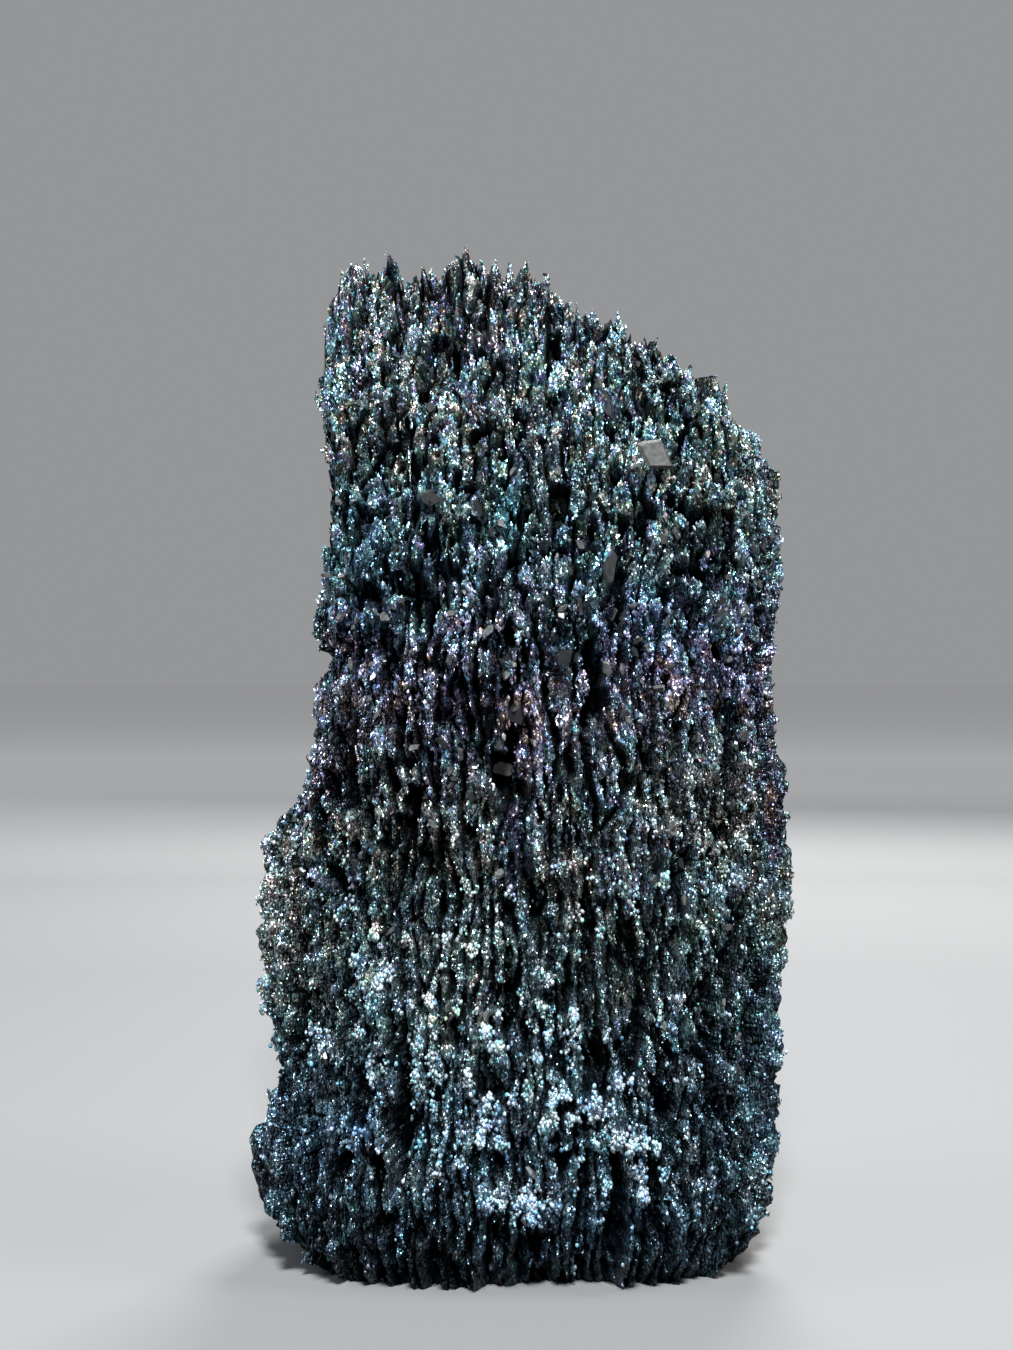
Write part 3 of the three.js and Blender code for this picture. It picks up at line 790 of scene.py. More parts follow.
def front_dim(points):
    """How much of the light the front keeps under its painted shade, or gains from its painted light."""
    dim = np.ones(points.shape[:-1])
    for *place, strength in FRONT_SHADED:
        dim *= 1 - nearness(points, *place) * strength
    return np.where(points[..., 1] < FRONT_ENDS, dim, 1)


def front_lit(points):
    """The painted light of the front's lit clusters."""
    painted_light = np.zeros(points.shape[:-1])
    for *place, strength in FRONT_LIT:
        painted_light = np.maximum(painted_light, nearness(points, *place) * strength)
    return np.where(points[..., 1] < FRONT_ENDS, painted_light, 0)


def front_tint(points):
    """The film thickness of the front's tinted areas, and how strongly they show."""
    total, share, rich = (np.zeros(len(points)) for _ in range(3))
    for *place, film, strength in FRONT_TINTS:
        near = nearness(points, *place)
        total, share = total + near ** 2 * film, share + near ** 2
        rich = np.maximum(rich, near * strength)
    return total / np.maximum(share, 1e-6), np.where(points[:, 1] < FRONT_ENDS, rich, 0)


# ---- Joined meshes ----

def cell_uv(cells, low=0.15, high=0.85):
    """One small triangle of the colour map for each face, in the square of its cell."""
    side = math.ceil(math.sqrt(cells.max() + 1))
    corner = np.stack([cells % side, cells // side], 1)[:, None, :]
    triangle = np.array([[low, low], [high, low], [low, high]])[None]
    return (corner + triangle) / side


def kept_in_box(points):
    """The points, pressed gently together just inside the faces of the solid's box."""
    middle, half = (BOX_LOW + BOX_HIGH) / 2, (BOX_HIGH - BOX_LOW) / 2
    away = points - middle
    over = np.maximum(np.abs(away) - (half - BOX_MARGIN), 0)
    squeezed = half - BOX_MARGIN + BOX_MARGIN * np.tanh(over / BOX_MARGIN)
    away = np.where(over > 0, np.sign(away) * squeezed, away)
    away[:, 2] = np.where(away[:, 2] < 0, np.maximum(points[:, 2] - middle[2], -half[2]), away[:, 2])
    return middle + away


def placed(name, data):
    """A new object of the scene."""
    obj = bpy.data.objects.new(name, data)
    bpy.context.scene.collection.objects.link(obj)
    return obj


def make_piece(name, arrays, material, smooth=False):
    """One object from points, faces and their attributes, kept inside the solid's box."""
    points, faces, tones, shade, painted_light, uv = arrays
    points = kept_in_box(points)
    tint, rich = front_tint(points)
    # Painted shade and painted light go to the materials as point attributes.
    values = (("tone", "FACE", tones), ("shade", "POINT", shade), ("painted_light", "POINT", painted_light),
              ("tint", "POINT", tint), ("rich", "POINT", rich))
    mesh = bpy.data.meshes.new(name)
    mesh.vertices.add(len(points))
    mesh.vertices.foreach_set("co", (points * MM).astype(np.float32).ravel())
    mesh.loops.add(len(faces) * 3)
    mesh.loops.foreach_set("vertex_index", faces.astype(np.int32).ravel())
    mesh.polygons.add(len(faces))
    mesh.polygons.foreach_set("loop_start", np.arange(0, len(faces) * 3, 3, dtype=np.int32))
    mesh.polygons.foreach_set("use_smooth", np.full(len(faces), smooth))
    mesh.update(calc_edges=True)
    for label, domain, data in values:
        attribute = mesh.attributes.new(label, "FLOAT", domain)
        attribute.data.foreach_set("value", data.astype(np.float32))
    layer = mesh.uv_layers.new(name="OFBake")
    layer.data.foreach_set("uv", uv.astype(np.float32).ravel())
    mesh.materials.append(material)
    piece = placed(name, mesh)
    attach(piece, BODY)
    return piece


def stray_grid(us, vs, pitch):
    """The points of a grid, each strayed at random by a share of the pitch."""
    shape = (len(us), len(vs))
    u = us[:, None] + rng.uniform(-JITTER, JITTER, shape) * pitch
    v = vs[None] + rng.uniform(-JITTER, JITTER, shape) * pitch
    return u, v


def grid_faces(rows, columns):
    """Triangles of a grid, split along either diagonal, with their colour-map corners."""
    i, j = np.meshgrid(np.arange(rows - 1), np.arange(columns - 1), indexing="ij")
    i, j = i.ravel(), j.ravel()
    corner = np.stack([[i, j], [i + 1, j], [i + 1, j + 1], [i, j + 1]]).transpose(2, 0, 1)
    flip = rng.random(len(i)) < 0.5
    plain = np.array([[0, 1, 2], [0, 2, 3]])
    turned = np.array([[0, 1, 3], [1, 2, 3]])
    pick = np.where(flip[:, None, None], turned, plain)
    chosen = corner[np.arange(len(i))[:, None, None], pick].reshape(-1, 3, 2)
    faces = chosen[..., 0] * columns + chosen[..., 1]
    return faces, chosen / np.array([rows - 1, columns - 1])


def used_points(faces, count):
    """Which points the faces use."""
    used = np.zeros(count, bool)
    used[faces.ravel()] = True
    return used


def trimmed(points, faces, tones, shade, painted_light, uv):
    """Arrays for a piece, without unused points."""
    used = used_points(faces, len(points))
    index = np.cumsum(used) - 1
    return points[used], index[faces], tones, shade[used], painted_light[used], uv


def wall_strip(start, stop, pitch):
    """The crust of the wall between two arcs: arrays for a piece, and the way outwards at each point."""
    arcs = np.arange(start, stop + pitch, pitch)
    arc, z = stray_grid(arcs, np.arange(0, HEIGHT + LIP_DEPTH, pitch), pitch)
    z[:, 0] = 0
    depth, top = walls.look(arc + WALL_SWAY * sway.at(arc, z + 40), z)
    depth += WALL_ROOM * np.clip(1 - depth / WALL_ROOM_WITHIN, 0, 1)
    over = z - top
    lip = np.clip(over, 0, LIP_DEPTH)
    relief, painted_light, painted_shading, ragged = wall_relief(arc, z)
    place, out = girdle.place(arc), girdle.normal(arc)
    relief -= front_gap(place[..., 0], z, ragged) * (out[..., 1] < FRONT_FACING)
    relief *= np.clip(BASE_RELIEF + z / BASE_RISE, 0, 1)
    depth = depth - relief
    depth = (depth + np.hypot(depth, SOFT_FACE)) / 2 + lip
    foot = np.clip(1 - z / FOOT_HEIGHT, 0, 1)
    depth += FOOT_UNDERCUT * foot ** 3 * (1 + FOOT_UNEVEN * patches.at(arc, z))
    z = np.where(over > 0, top - LIP_SINK * lip, z)
    points = np.concatenate([place - out * depth[..., None], z[..., None]], -1).reshape(-1, 3)
    faces, uv = grid_faces(*arc.shape)
    kept = (over.ravel()[faces] < LIP_DEPTH).any(1)
    faces, uv = faces[kept], uv[kept]
    dim = front_dim(points)
    # Painted shade: darker by depth, on the upper lip and low on the foot, with the fine painted light and
    # shade and the front's painted areas.
    shade = (shade_of(relief) * (1 - lip / LIP_DEPTH) * painted_shading * (1 - FOOT_SHADE * foot)).ravel() * dim
    # Painted light on the clumps, under the front's painted shade, and on the front's lit clusters.
    painted_light = np.maximum(painted_light.ravel() * dim, front_lit(points))
    out = np.concatenate([out.reshape(-1, 2), np.zeros((len(points), 1))], 1)
    out = out[used_points(faces, len(points))]
    return trimmed(points, faces, rng.random(len(faces)), shade, painted_light, uv), out


def slope_sheet(pitch):
    """The crust of the crown's front slope: arrays for a piece."""
    xs = np.arange(BOX_LOW[0], BOX_HIGH[0], pitch)
    x, z = stray_grid(xs, np.arange(SLOPE_FOOT, HEIGHT, pitch), pitch)
    sideways, upwards = SLOPE_SWAY
    y = slope.look(x + sideways * slope_sway.at(z, x + 30), z + upwards * slope_sway.at(x + 30, z))
    relief, painted_light, painted_shading, ragged = slope_relief(x, z)
    relief -= SLOPE_GAPS * front_gap(x, z, ragged)
    tuck = np.clip(1 - (z - SLOPE_FOOT) / SLOPE_BLEND, 0, 1) * SLOPE_TUCK
    points = skyline.moved(np.stack([x, y - relief + tuck, z + SLOPE_RISE * relief], -1)).reshape(-1, 3)
    faces, uv = grid_faces(*x.shape)
    aside = np.abs(points[faces][..., 0]).max(1) > SIDE_FROM
    kept = np.ptp(points[faces][..., 1], axis=1) < np.where(aside, SIDE_JUMP, SLOPE_JUMP)
    # Painted shade by depth, the crust taken as lying deeper, with the fine painted light and shade, painted
    # light over the slope and the front's painted areas.
    shade = (shade_of(relief - CROWN_DIMMER) * painted_shading).ravel() * SLOPE_LIGHT * front_dim(points)
    # Painted light on the clumps and on the front's lit clusters.
    painted_light = np.maximum(painted_light.ravel(), front_lit(points))
    return trimmed(points, faces[kept], rng.random(kept.sum()), shade, painted_light, uv[kept])


def crown_sheet(pitch):
    """The crust of the crown: arrays for a piece."""
    low, high = BOX_LOW - CROWN_OVERHANG, BOX_HIGH + CROWN_OVERHANG
    x, y = stray_grid(*(np.arange(low[k], high[k], pitch) for k in (0, 1)), pitch)
    relief, painted_light, painted_shading = crown_relief(x, y)
    points = skyline.moved(np.stack([x, y, crown.look(x, y) + relief], -1)).reshape(-1, 3)
    faces, uv = grid_faces(*x.shape)
    kept = ~np.isnan(points[faces][..., 2]).any(1)
    # Painted shade by depth, the crust taken as lying deeper, and painted shade off the crumbs.
    shade = (shade_of(relief - CROWN_DIMMER) * painted_shading).ravel()
    return trimmed(points, faces[kept], rng.random(kept.sum()), shade, painted_light.ravel(), uv[kept])


def all_points(crusts):
    """The points of several crusts."""
    return np.concatenate([arrays[0] for arrays, _ in crusts])


def base_cap(crusts):
    """The flat broken base, from the lowest points of the walls to its middle, in painted shade."""
    points = all_points(crusts)
    halfway = (0.5, 0.5, 1)
    ring = points[points[:, 2] < BASE_EDGE]
    ring = ring[np.argsort(np.arctan2(ring[:, 1], ring[:, 0]))]
    count = len(ring)
    points = np.concatenate([ring, ring * halfway, [[0, 0, 0]]])
    here = np.arange(count)
    after = (here + 1) % count
    rim = np.stack([here, here + count, after], 1), np.stack([after, here + count, after + count], 1)
    faces = np.concatenate([*rim, np.stack([here + count, np.full(count, 2 * count), after + count], 1)])
    uv = points[faces][..., :2] / (2 * HALF_PLAN) + 0.5
    # Painted shade over the whole base, with little painted light.
    underside_shade = np.full(len(points), BASE_LIGHT)
    return points, faces, rng.random(len(faces)), underside_shade, underside_shade * BASE_LIGHT, uv


# ---- Grains and plates ----

CHIP = (
    np.array([[1, 0, 0], [0, 1, 0], [-1, 0, 0], [0, -1, 0], [0, 0, 1], [0, 0, -1]], float),
    np.array([[0, 1, 4], [1, 2, 4], [2, 3, 4], [3, 0, 4], [1, 0, 5], [2, 1, 5], [3, 2, 5], [0, 3, 5]]),
)


def icosahedron():
    """Corners and faces of a unit icosahedron."""
    long = (1 + 5 ** 0.5) / 2
    just_over_edge = 2.1
    corners = [[a, b, 0] for a in (-1, 1) for b in (-long, long)]
    corners = np.array(corners + [[0, *c[:2]] for c in corners] + [[c[1], 0, c[0]] for c in corners], float)
    faces = []
    for i, j, k in itertools.combinations(range(len(corners)), 3):
        a, b, c = corners[[i, j, k]]
        if max(np.linalg.norm(a - b), np.linalg.norm(b - c), np.linalg.norm(c - a)) < just_over_edge:
            outward = np.dot(np.cross(b - a, c - a), a) > 0
            faces.append([i, j, k] if outward else [i, k, j])
    return corners / np.linalg.norm(corners[0]), np.array(faces)


BALL = icosahedron()

# A direction whose X is less than this is far enough from the X axis to be turned about it.
AWAY_FROM_X = 0.8


def turns_towards(z, spin):
    """Rotations that take Z to each given direction, spun about it."""
    z = z / np.linalg.norm(z, axis=1, keepdims=True)
    helper = np.where(np.abs(z[:, :1]) < AWAY_FROM_X, [[1.0, 0.0, 0.0]], [[0.0, 1.0, 0.0]])
    x = np.cross(helper, z)
    x /= np.linalg.norm(x, axis=1, keepdims=True)
    y = np.cross(z, x)
    c, s = np.cos(spin)[:, None], np.sin(spin)[:, None]
    return np.stack([x * c + y * s, y * c - x * s, z], 2)


def upright_turns(count, spread):
    """Rotations that spin freely about Z and lean a little."""
    spin = rng.uniform(0, 2 * math.pi, count)
    lean = rng.normal(0, spread, count)
    way = rng.uniform(0, math.pi, count)
    z = np.stack([np.sin(lean) * np.cos(way), np.sin(lean) * np.sin(way), np.cos(lean)], 1)
    return turns_towards(z, spin)


def scattered(places, turns, sizes, tones, shade, painted_light, solid):
    """Copies of a small solid, or one solid for each place, as arrays for a piece."""
    corners, faces = solid
    count, points_each = len(places), corners.shape[-2]
    points = np.einsum("nij,nkj->nki", turns, corners * sizes[:, None, :]) + places[:, None, :]
    all_faces = faces[None] + (np.arange(count) * points_each)[:, None, None]
    cells = np.repeat(np.arange(count), len(faces))
    return [points.reshape(-1, 3), all_faces.reshape(-1, 3), np.repeat(tones, len(faces)),
            np.repeat(shade, points_each), np.repeat(painted_light, points_each), cell_uv(cells)]


def picked(weight, count):
    """Numbers of random points, likelier where the weight is greater."""
    return rng.choice(len(weight), count, p=weight / weight.sum())


def pearls(crust, count):
    """Rounded beads on the crust's brightest clumps, low on the front."""
    (points, _, _, shade, painted_light, _), out = crust
    low_down = np.clip((PEARLS_BELOW - points[:, 2]) / PEARLS_FADE, 0, 1)
    pick = picked(shade * np.clip(painted_light - PEARL_GLOW, 0, 1) ** 3 * low_down, count)
    size = rng.uniform(*PEARL_SIZE, count)
    sizes = size[:, None] * rng.uniform(*PEARL_UNEVEN, (count, 3)) * PEARL_SHAPE
    places = points[pick] + out[pick] * (size * PEARL_STAND)[:, None] + rng.normal(0, PEARL_STRAY, (count, 3))
    turns = upright_turns(count, PEARL_LEAN)
    # Each pearl keeps half the painted shade of the crust under it.
    light = between(PEARL_LIGHT, shade[pick])
    return scattered(places, turns, sizes, rng.random(count), light, painted_light[pick], BALL)


def grains(crust, count):
    """Grains on the outer parts of a crust, larger on its brighter clumps."""
    (points, _, _, shade, painted_light, _), out = crust
    pick = picked(shade ** 2 * (GRAIN_ANYWHERE + painted_light), count)
    low, high = GRAIN_SIZE
    size = low + (high - low) * rng.random(count) ** 2 * between(GRAIN_BY_GLOW, painted_light[pick])
    sizes = size[:, None] * rng.uniform(*GRAIN_UNEVEN, (count, 3)) * GRAIN_SHAPE
    turns = upright_turns(count, GRAIN_LEAN)
    stand = out[pick] * (size * GRAIN_STAND)[:, None]
    places = points[pick] + stand + rng.normal(0, GRAIN_STRAY, (count, 3))
    # Each grain keeps most of the painted shade of the crust under it.
    light = between(GRAIN_LIGHT, shade[pick])
    return scattered(places, turns, sizes, rng.random(count), light, painted_light[pick], CHIP)


# Directions of an angular plate's six corners, how far each strays, their reach, and the smaller upper face.
PLATE_CORNERS = (0.1, 0.5, 2.0, 3.1, 3.7, 5.0)
PLATE_CORNER_STRAY = 0.3
PLATE_REACH = (0.8, 1.15)
PLATE_TOP = 0.82


def plate_outlines(count):
    """Irregular angular plates of about unit size: corners for each, and the faces that all share."""
    stray = rng.uniform(-PLATE_CORNER_STRAY, PLATE_CORNER_STRAY, (count, 6))
    angle = np.sort(np.array(PLATE_CORNERS) + stray, axis=1)
    reach = rng.uniform(*PLATE_REACH, (count, 6))
    rim = np.stack([reach * np.cos(angle), reach * np.sin(angle)], -1)
    flat = np.ones((count, 6, 1))
    bottom, top = np.concatenate([rim, -flat], -1), np.concatenate([rim * PLATE_TOP, flat], -1)
    faces = []
    for k in range(6):
        n = (k + 1) % 6
        faces += [[k, n, 6 + n], [k, 6 + n, 6 + k]]
    faces += [[6, 6 + k, 7 + k] for k in range(1, 5)] + [[0, k + 1, k] for k in range(1, 5)]
    return np.concatenate([bottom, top], 1), np.array(faces)


def laid_plates(places, facing, spins, sizes, tones):
    """Plates at places, facing given ways, as arrays for a piece."""
    outlines = plate_outlines(len(places))
    every = np.ones(len(places))
    return scattered(places, turns_towards(facing, spins), sizes, tones, every, every * PLATE_GLOW, outlines)


def front_depth(points, x, z):
    """The crust's y at a place on the front."""
    reach, share = LARGE_PLATE_BED
    near = np.hypot(points[:, 0] - x, points[:, 2] - z) < reach
    return np.quantile(points[near, 1], share)


def large_plates(crusts):
    """The front's largest flat crystals, laid on its crusts."""
    points = all_points(crusts)
    x, z, wide, high, turn, aside, up, sink = np.array(FRONT_PLATES).T
    y = np.array([front_depth(points, *place) for place in zip(x, z)]) + sink
    facing = np.stack([aside, -np.ones(len(x)), up], 1)
    sizes = np.stack([high / 2, wide / 2, np.full(len(x), LARGE_PLATE_HALF_THICKNESS)], 1)
    tones = rng.uniform(*LARGE_PLATE_TONES, len(x))
    tones[0] = 1.0
    return laid_plates(np.stack([x, y, z], 1), facing, turn, sizes, tones)


def small_plates(crusts, count):
    """Small flat crystals half sunk in the crust, mostly high up."""
    points = all_points(crusts)
    out = np.concatenate([out for _, out in crusts])
    shade = np.concatenate([arrays[3] for arrays, _ in crusts])
    middle, reach = PLATES_ABOUT
    pick = picked(shade * (PLATES_ELSEWHERE + np.exp(-(((points[:, 2] - middle) / reach) ** 2))), count)
    facing = out[pick] + rng.normal(0, PLATE_LEAN, (count, 3))
    low, high = PLATE_SIZE
    size = low + (high - low) * rng.random(count) ** PLATE_RARITY
    across = size * rng.uniform(*PLATE_ASPECT, count)
    sizes = np.stack([size, across, between(PLATE_THICKNESS, size)], 1)
    places = points[pick] + out[pick] * PLATE_STAND
    return laid_plates(places, facing, rng.normal(0, PLATE_TURN, count), sizes, rng.random(count))


# ---- Materials ----

# Film thickness (red), colourfulness (green) and its spread from place to place (blue) by height share.
FILM_BY_HEIGHT = [
    (0.0, (0.56, 0.26, 0.14)), (0.2, (0.58, 0.21, 0.14)), (0.3, (0.68, 0.1, 0.35)), (0.43, (0.9, 0.08, 0.8)),
    (0.52, (0.38, 0.2, 0.5)), (0.66, (0.58, 0.24, 0.3)), (0.78, (0.68, 0.26, 0.6)), (0.9, (0.62, 0.36, 0.9)),
]

# Interference colours by film thickness.
FILM_COLOURS = [
    (0.0, (0.7, 0.68, 0.66)), (0.12, (0.75, 0.5, 0.16)), (0.22, (0.68, 0.3, 0.16)),
    (0.33, (0.55, 0.3, 0.75)), (0.44, (0.26, 0.36, 0.95)), (0.54, (0.16, 0.56, 0.95)),
    (0.66, (0.2, 0.8, 0.88)), (0.78, (0.3, 0.85, 0.65)), (0.87, (0.8, 0.88, 0.4)),
    (0.95, (0.95, 0.5, 0.65)),
]

# Colours of the crystal without its film: where it is dim, and where its painted glints and painted light are
# strongest.
SHADED_SILVER = (0.48, 0.535, 0.58, 1)
HIGHLIGHT_SILVER = (0.64, 0.655, 0.66, 1)

# Upright cells: heights count for less than widths in the fine patterns.
UPRIGHT = (1.0, 1.0, 0.6)

# Factors that draw further random values out of one tone.
SPARK_FACTOR = 37.0
SPECK_FACTOR = 91.0

# Painted light in the colour: painted glints and painted shine on the clumps, painted shade, and the most at
# any place.
FLASH_BY_GLOW, FLASH_LEAST = 1.4, 0.3
SHINE_BY_GLOW = 0.55
SHADE_SHARE, SHADE_LEAST = 0.95, 0.05
MOST_BY_GLOW, MOST_LIGHT = 0.3, 0.44

# Fine upright streaks of the crusts.
STREAK_SIZE, STREAK_STRETCH = 0.38, (1.0, 1.0, 0.14)
STREAK_FROM, STREAK_STEEPNESS, STREAK_LEAST = 0.37, 4.0, 0.2

# The film: its drift with height, its patches and each facet's own thickness.
DRIFT_SIZE, DRIFT_AMOUNT = 22.0, 0.35
PATCH_SIZE, PATCH_AMOUNT = 3.2, 2.6
OWN_AMOUNT = 0.5

# Colourfulness: specks, deeper patches, the most that a tint gives, and how painted glints wash it out.
SPECK_RARITY, SPECK_AMOUNT = 3.5, 0.95
DEEP_SIZE, DEEP_FROM, DEEP_STEEPNESS = 6.0, 0.42, 5.0
DEEP_AMOUNT, PLAIN_AMOUNT = 1.3, 0.45
TINT_MOST = 0.85
WASHED_OUT = 0.35

# Facets and beads too fine for the meshes, in millimetres.
FACET_SIZE = 0.28
BEAD_SIZE = 0.5

# The flat plates.
PLATE_DARK = (0.006, 0.007, 0.008, 1)
PLATE_PALE = (0.08, 0.08, 0.078, 1)
MOTTLE_SIZE, MOTTLE_DETAIL, MOTTLE_AMOUNT = 0.8, 4.0, 1.6
PLATE_ROUGH_SIZE, PLATE_ROUGH_AMOUNT, PLATE_SMOOTHEST = 0.6, 0.3, 0.2
PLATE_FACET_SIZE, PLATE_TILT = 0.5, 0.12


class Value:
    """A number that a material's nodes work out, with the usual signs of arithmetic."""

    def __init__(self, look, socket):
        self.look = look
        self.socket = socket

    def math(self, kind, other=0.0):
        return self.look.math(kind, self, other)

    __add__ = partialmethod(math, "ADD")
    __sub__ = partialmethod(math, "SUBTRACT")
    __mul__ = partialmethod(math, "MULTIPLY")
    __truediv__ = partialmethod(math, "DIVIDE")
    __pow__ = partialmethod(math, "POWER")
    fract = partialmethod(math, "FRACT")
    at_most = partialmethod(math, "MINIMUM")

    def __rsub__(self, other):
        return self.look.math("SUBTRACT", other, self)

    def held(self):
        """This value, held between 0 and 1 by its own node."""
        self.socket.node.use_clamp = True
        return self


class Shading:
    """Short ways to add the nodes of one material."""

    def __init__(self, name):
        self.material = bpy.data.materials.new(name)
        self.material.use_nodes = True
        self.nodes, self.links = self.material.node_tree.nodes, self.material.node_tree.links
        self.shader = self.nodes["Principled BSDF"]
        self.coords = self.nodes.new("ShaderNodeTexCoord").outputs["Object"]
        self.upright = self.vector("MULTIPLY", self.coords, UPRIGHT)

    def feed(self, socket, value):
        """Set a socket to a number or colour, or link it to what nodes work out."""
        if isinstance(value, (int, float, tuple)):
            socket.default_value = value
        else:
            self.links.new(getattr(value, "socket", value), socket)

    def set(self, name, value):
        """Set one of the shader's inputs."""
        self.feed(self.shader.inputs[name], value)

    def node(self, kind, inputs, **settings):
        """A new node with its settings made and the inputs of these names or numbers fed."""
        node = self.nodes.new("ShaderNode" + kind)
        for name, value in settings.items():
            setattr(node, name, value)
        for name, value in inputs.items():
            self.feed(node.inputs[name], value)
        return node

    def math(self, kind, a, b):
        return Value(self, self.node("Math", {0: a, 1: b}, operation=kind).outputs[0])

    def vector(self, kind, a, b=(0.0, 0.0, 0.0)):
        return self.node("VectorMath", {0: a, 1: b}, operation=kind).outputs[0]

    def scaled(self, a, scale):
        """A vector or colour times a number."""
        return self.node("VectorMath", {0: a, "Scale": scale}, operation="SCALE").outputs[0]

    def length(self, a):
        return Value(self, self.node("VectorMath", {0: a}, operation="LENGTH").outputs["Value"])

    def attribute(self, name):
        return Value(self, self.node("Attribute", {}, attribute_name=name).outputs["Fac"])

    def noise(self, size, detail=2.0, coords=None):
        """Smooth noise with features of so many millimetres."""
        inputs = {"Vector": coords or self.coords, "Scale": 1 / (size * MM), "Detail": detail}
        return Value(self, self.node("TexNoise", inputs).outputs[0])

    def cells(self, size):
        """The outputs of a pattern of small upright cells of so many millimetres."""
        return self.node("TexVoronoi", {"Vector": self.upright, "Scale": 1 / (size * MM)}).outputs

    def parts(self, kind, whole):
        """The three parts of a colour or a vector."""
        return [Value(self, output) for output in self.node("Separate" + kind, {0: whole}).outputs]

    def mix(self, share, a, b):
        return self.node("Mix", {"Factor": share, "A": a, "B": b}, data_type="RGBA").outputs["Result"]

    def ramp(self, value, stops):
        node = self.node("ValToRGB", {0: value})
        elements = node.color_ramp.elements
        while len(elements) < len(stops):
            elements.new(0.5)
        for element, (at, colour) in zip(elements, stops):
            element.position, element.color = at, (*colour, 1)
        return node.outputs[0]

    def beaded_normal(self, size, height, normal):
        """A normal rounded over small beads of so many millimetres across and high."""
        rise = 1.0 - Value(self, self.cells(size)["Distance"]) ** 2.0
        return self.node("Bump", {"Distance": height * MM, "Height": rise, "Normal": normal}).outputs[0]

    def tilted_normal(self, size, amount):
        """The surface's normal, tipped at random in each small cell, as fine facets are."""
        tilt = self.vector("SUBTRACT", self.cells(size)["Color"], (0.5, 0.5, 0.5))
        normal = self.node("NewGeometry", {}).outputs["Normal"]
        return self.vector("NORMALIZE", self.vector("ADD", normal, self.scaled(tilt, amount)))


def light_given_back(look, spark, streak, dark, bright, rarity):
    """How light the crystal is painted: painted shade in the gaps, with rare painted glints on the clumps."""
    shade, painted_light = look.attribute("shade"), look.attribute("painted_light")
    flash = spark ** rarity * (painted_light * FLASH_BY_GLOW + FLASH_LEAST) * bright
    strength = (flash + (painted_light * SHINE_BY_GLOW + dark)) * (shade * SHADE_SHARE + SHADE_LEAST)
    return (strength * streak).at_most(painted_light * MOST_BY_GLOW + MOST_LIGHT)


def film_hue(look, other, strength):
    """The colour of the film over the silver, by height, with patches, specks and tinted places, paler and
    less colourful under painted glints.
    """
    tint, rich = look.attribute("tint"), look.attribute("rich")
    height = look.parts("XYZ", look.coords)[2] / (HEIGHT * MM)
    drift = (look.noise(DRIFT_SIZE) - 0.5) * DRIFT_AMOUNT
    by_height = look.ramp((height + drift).held(), FILM_BY_HEIGHT)
    thickness, colourful, spread = look.parts("Color", by_height)
    own = (other - 0.5) * (spread * OWN_AMOUNT)
    thickness = thickness + (look.noise(PATCH_SIZE, detail=1.0) - 0.5) * (spread * PATCH_AMOUNT)
    thickness = thickness + (tint - thickness) * rich
    speck = (other * SPECK_FACTOR).fract() ** SPECK_RARITY * SPECK_AMOUNT
    deep = ((look.noise(DEEP_SIZE, detail=1.0) - DEEP_FROM) * DEEP_STEEPNESS).held()
    colourful = (colourful * (deep * DEEP_AMOUNT + PLAIN_AMOUNT) + speck).held()
    colourful = (colourful + (TINT_MOST - colourful) * rich).held()
    colourful = colourful * (1.0 - strength * WASHED_OUT)
    silver = look.mix(strength, SHADED_SILVER, HIGHLIGHT_SILVER)
    return look.mix(colourful, silver, look.ramp((thickness + own).fract(), FILM_COLOURS))


def carbide_material(name, dark, bright, rarity, roughness, tilt, bead, metal, fleck=None):
    """Dark metallic crystal with a thin film, painted shade and painted glints; its tones come from each
    face, or from flecks of a size.
    """
    look = Shading(name)
    if fleck:
        spark, other, _ = look.parts("Color", look.cells(fleck)["Color"])
        lines = look.noise(STREAK_SIZE, coords=look.vector("MULTIPLY", look.coords, STREAK_STRETCH))
        streak = ((lines - STREAK_FROM) * STREAK_STEEPNESS).held() + STREAK_LEAST
    else:
        other = look.attribute("tone")
        spark = (other * SPARK_FACTOR).fract()
        streak = 1.0
    strength = light_given_back(look, spark, streak, dark, bright, rarity)
    look.set("Base Color", look.scaled(film_hue(look, other, strength), strength))
    look.set("Metallic", metal)
    look.set("Roughness", roughness)
    look.set("Specular IOR Level", 0.25)
    look.set("Normal", look.beaded_normal(BEAD_SIZE, bead, look.tilted_normal(FACET_SIZE, tilt)))
    return look.material


def plate_material():
    """Flat dark crystal faces, smooth, lighter and darker in small patches."""
    look = Shading("carbide_plates")
    colour = look.mix(look.attribute("tone") ** 2.0, PLATE_DARK, PLATE_PALE)
    look.set("Base Color", look.scaled(colour, look.noise(MOTTLE_SIZE, detail=MOTTLE_DETAIL) * MOTTLE_AMOUNT))
    look.set("Metallic", 0.2)
    look.set("Roughness", look.noise(PLATE_ROUGH_SIZE) * PLATE_ROUGH_AMOUNT + PLATE_SMOOTHEST)
    look.set("Normal", look.tilted_normal(PLATE_FACET_SIZE, PLATE_TILT))
    return look.material


# ---- Pieces ----

CROWN_WAY = (0.0, 0.0, 1.0)
SLOPE_WAY = (0.0, -0.8, 0.6)


def facing(crust, way):
    """A crust with one way outwards for all its points."""
    return crust, np.tile(np.array(way), (len(crust[0]), 1))


walls = WallMap()
crown = CrownMap()
slope = SlopeMap()
skyline = Skyline()

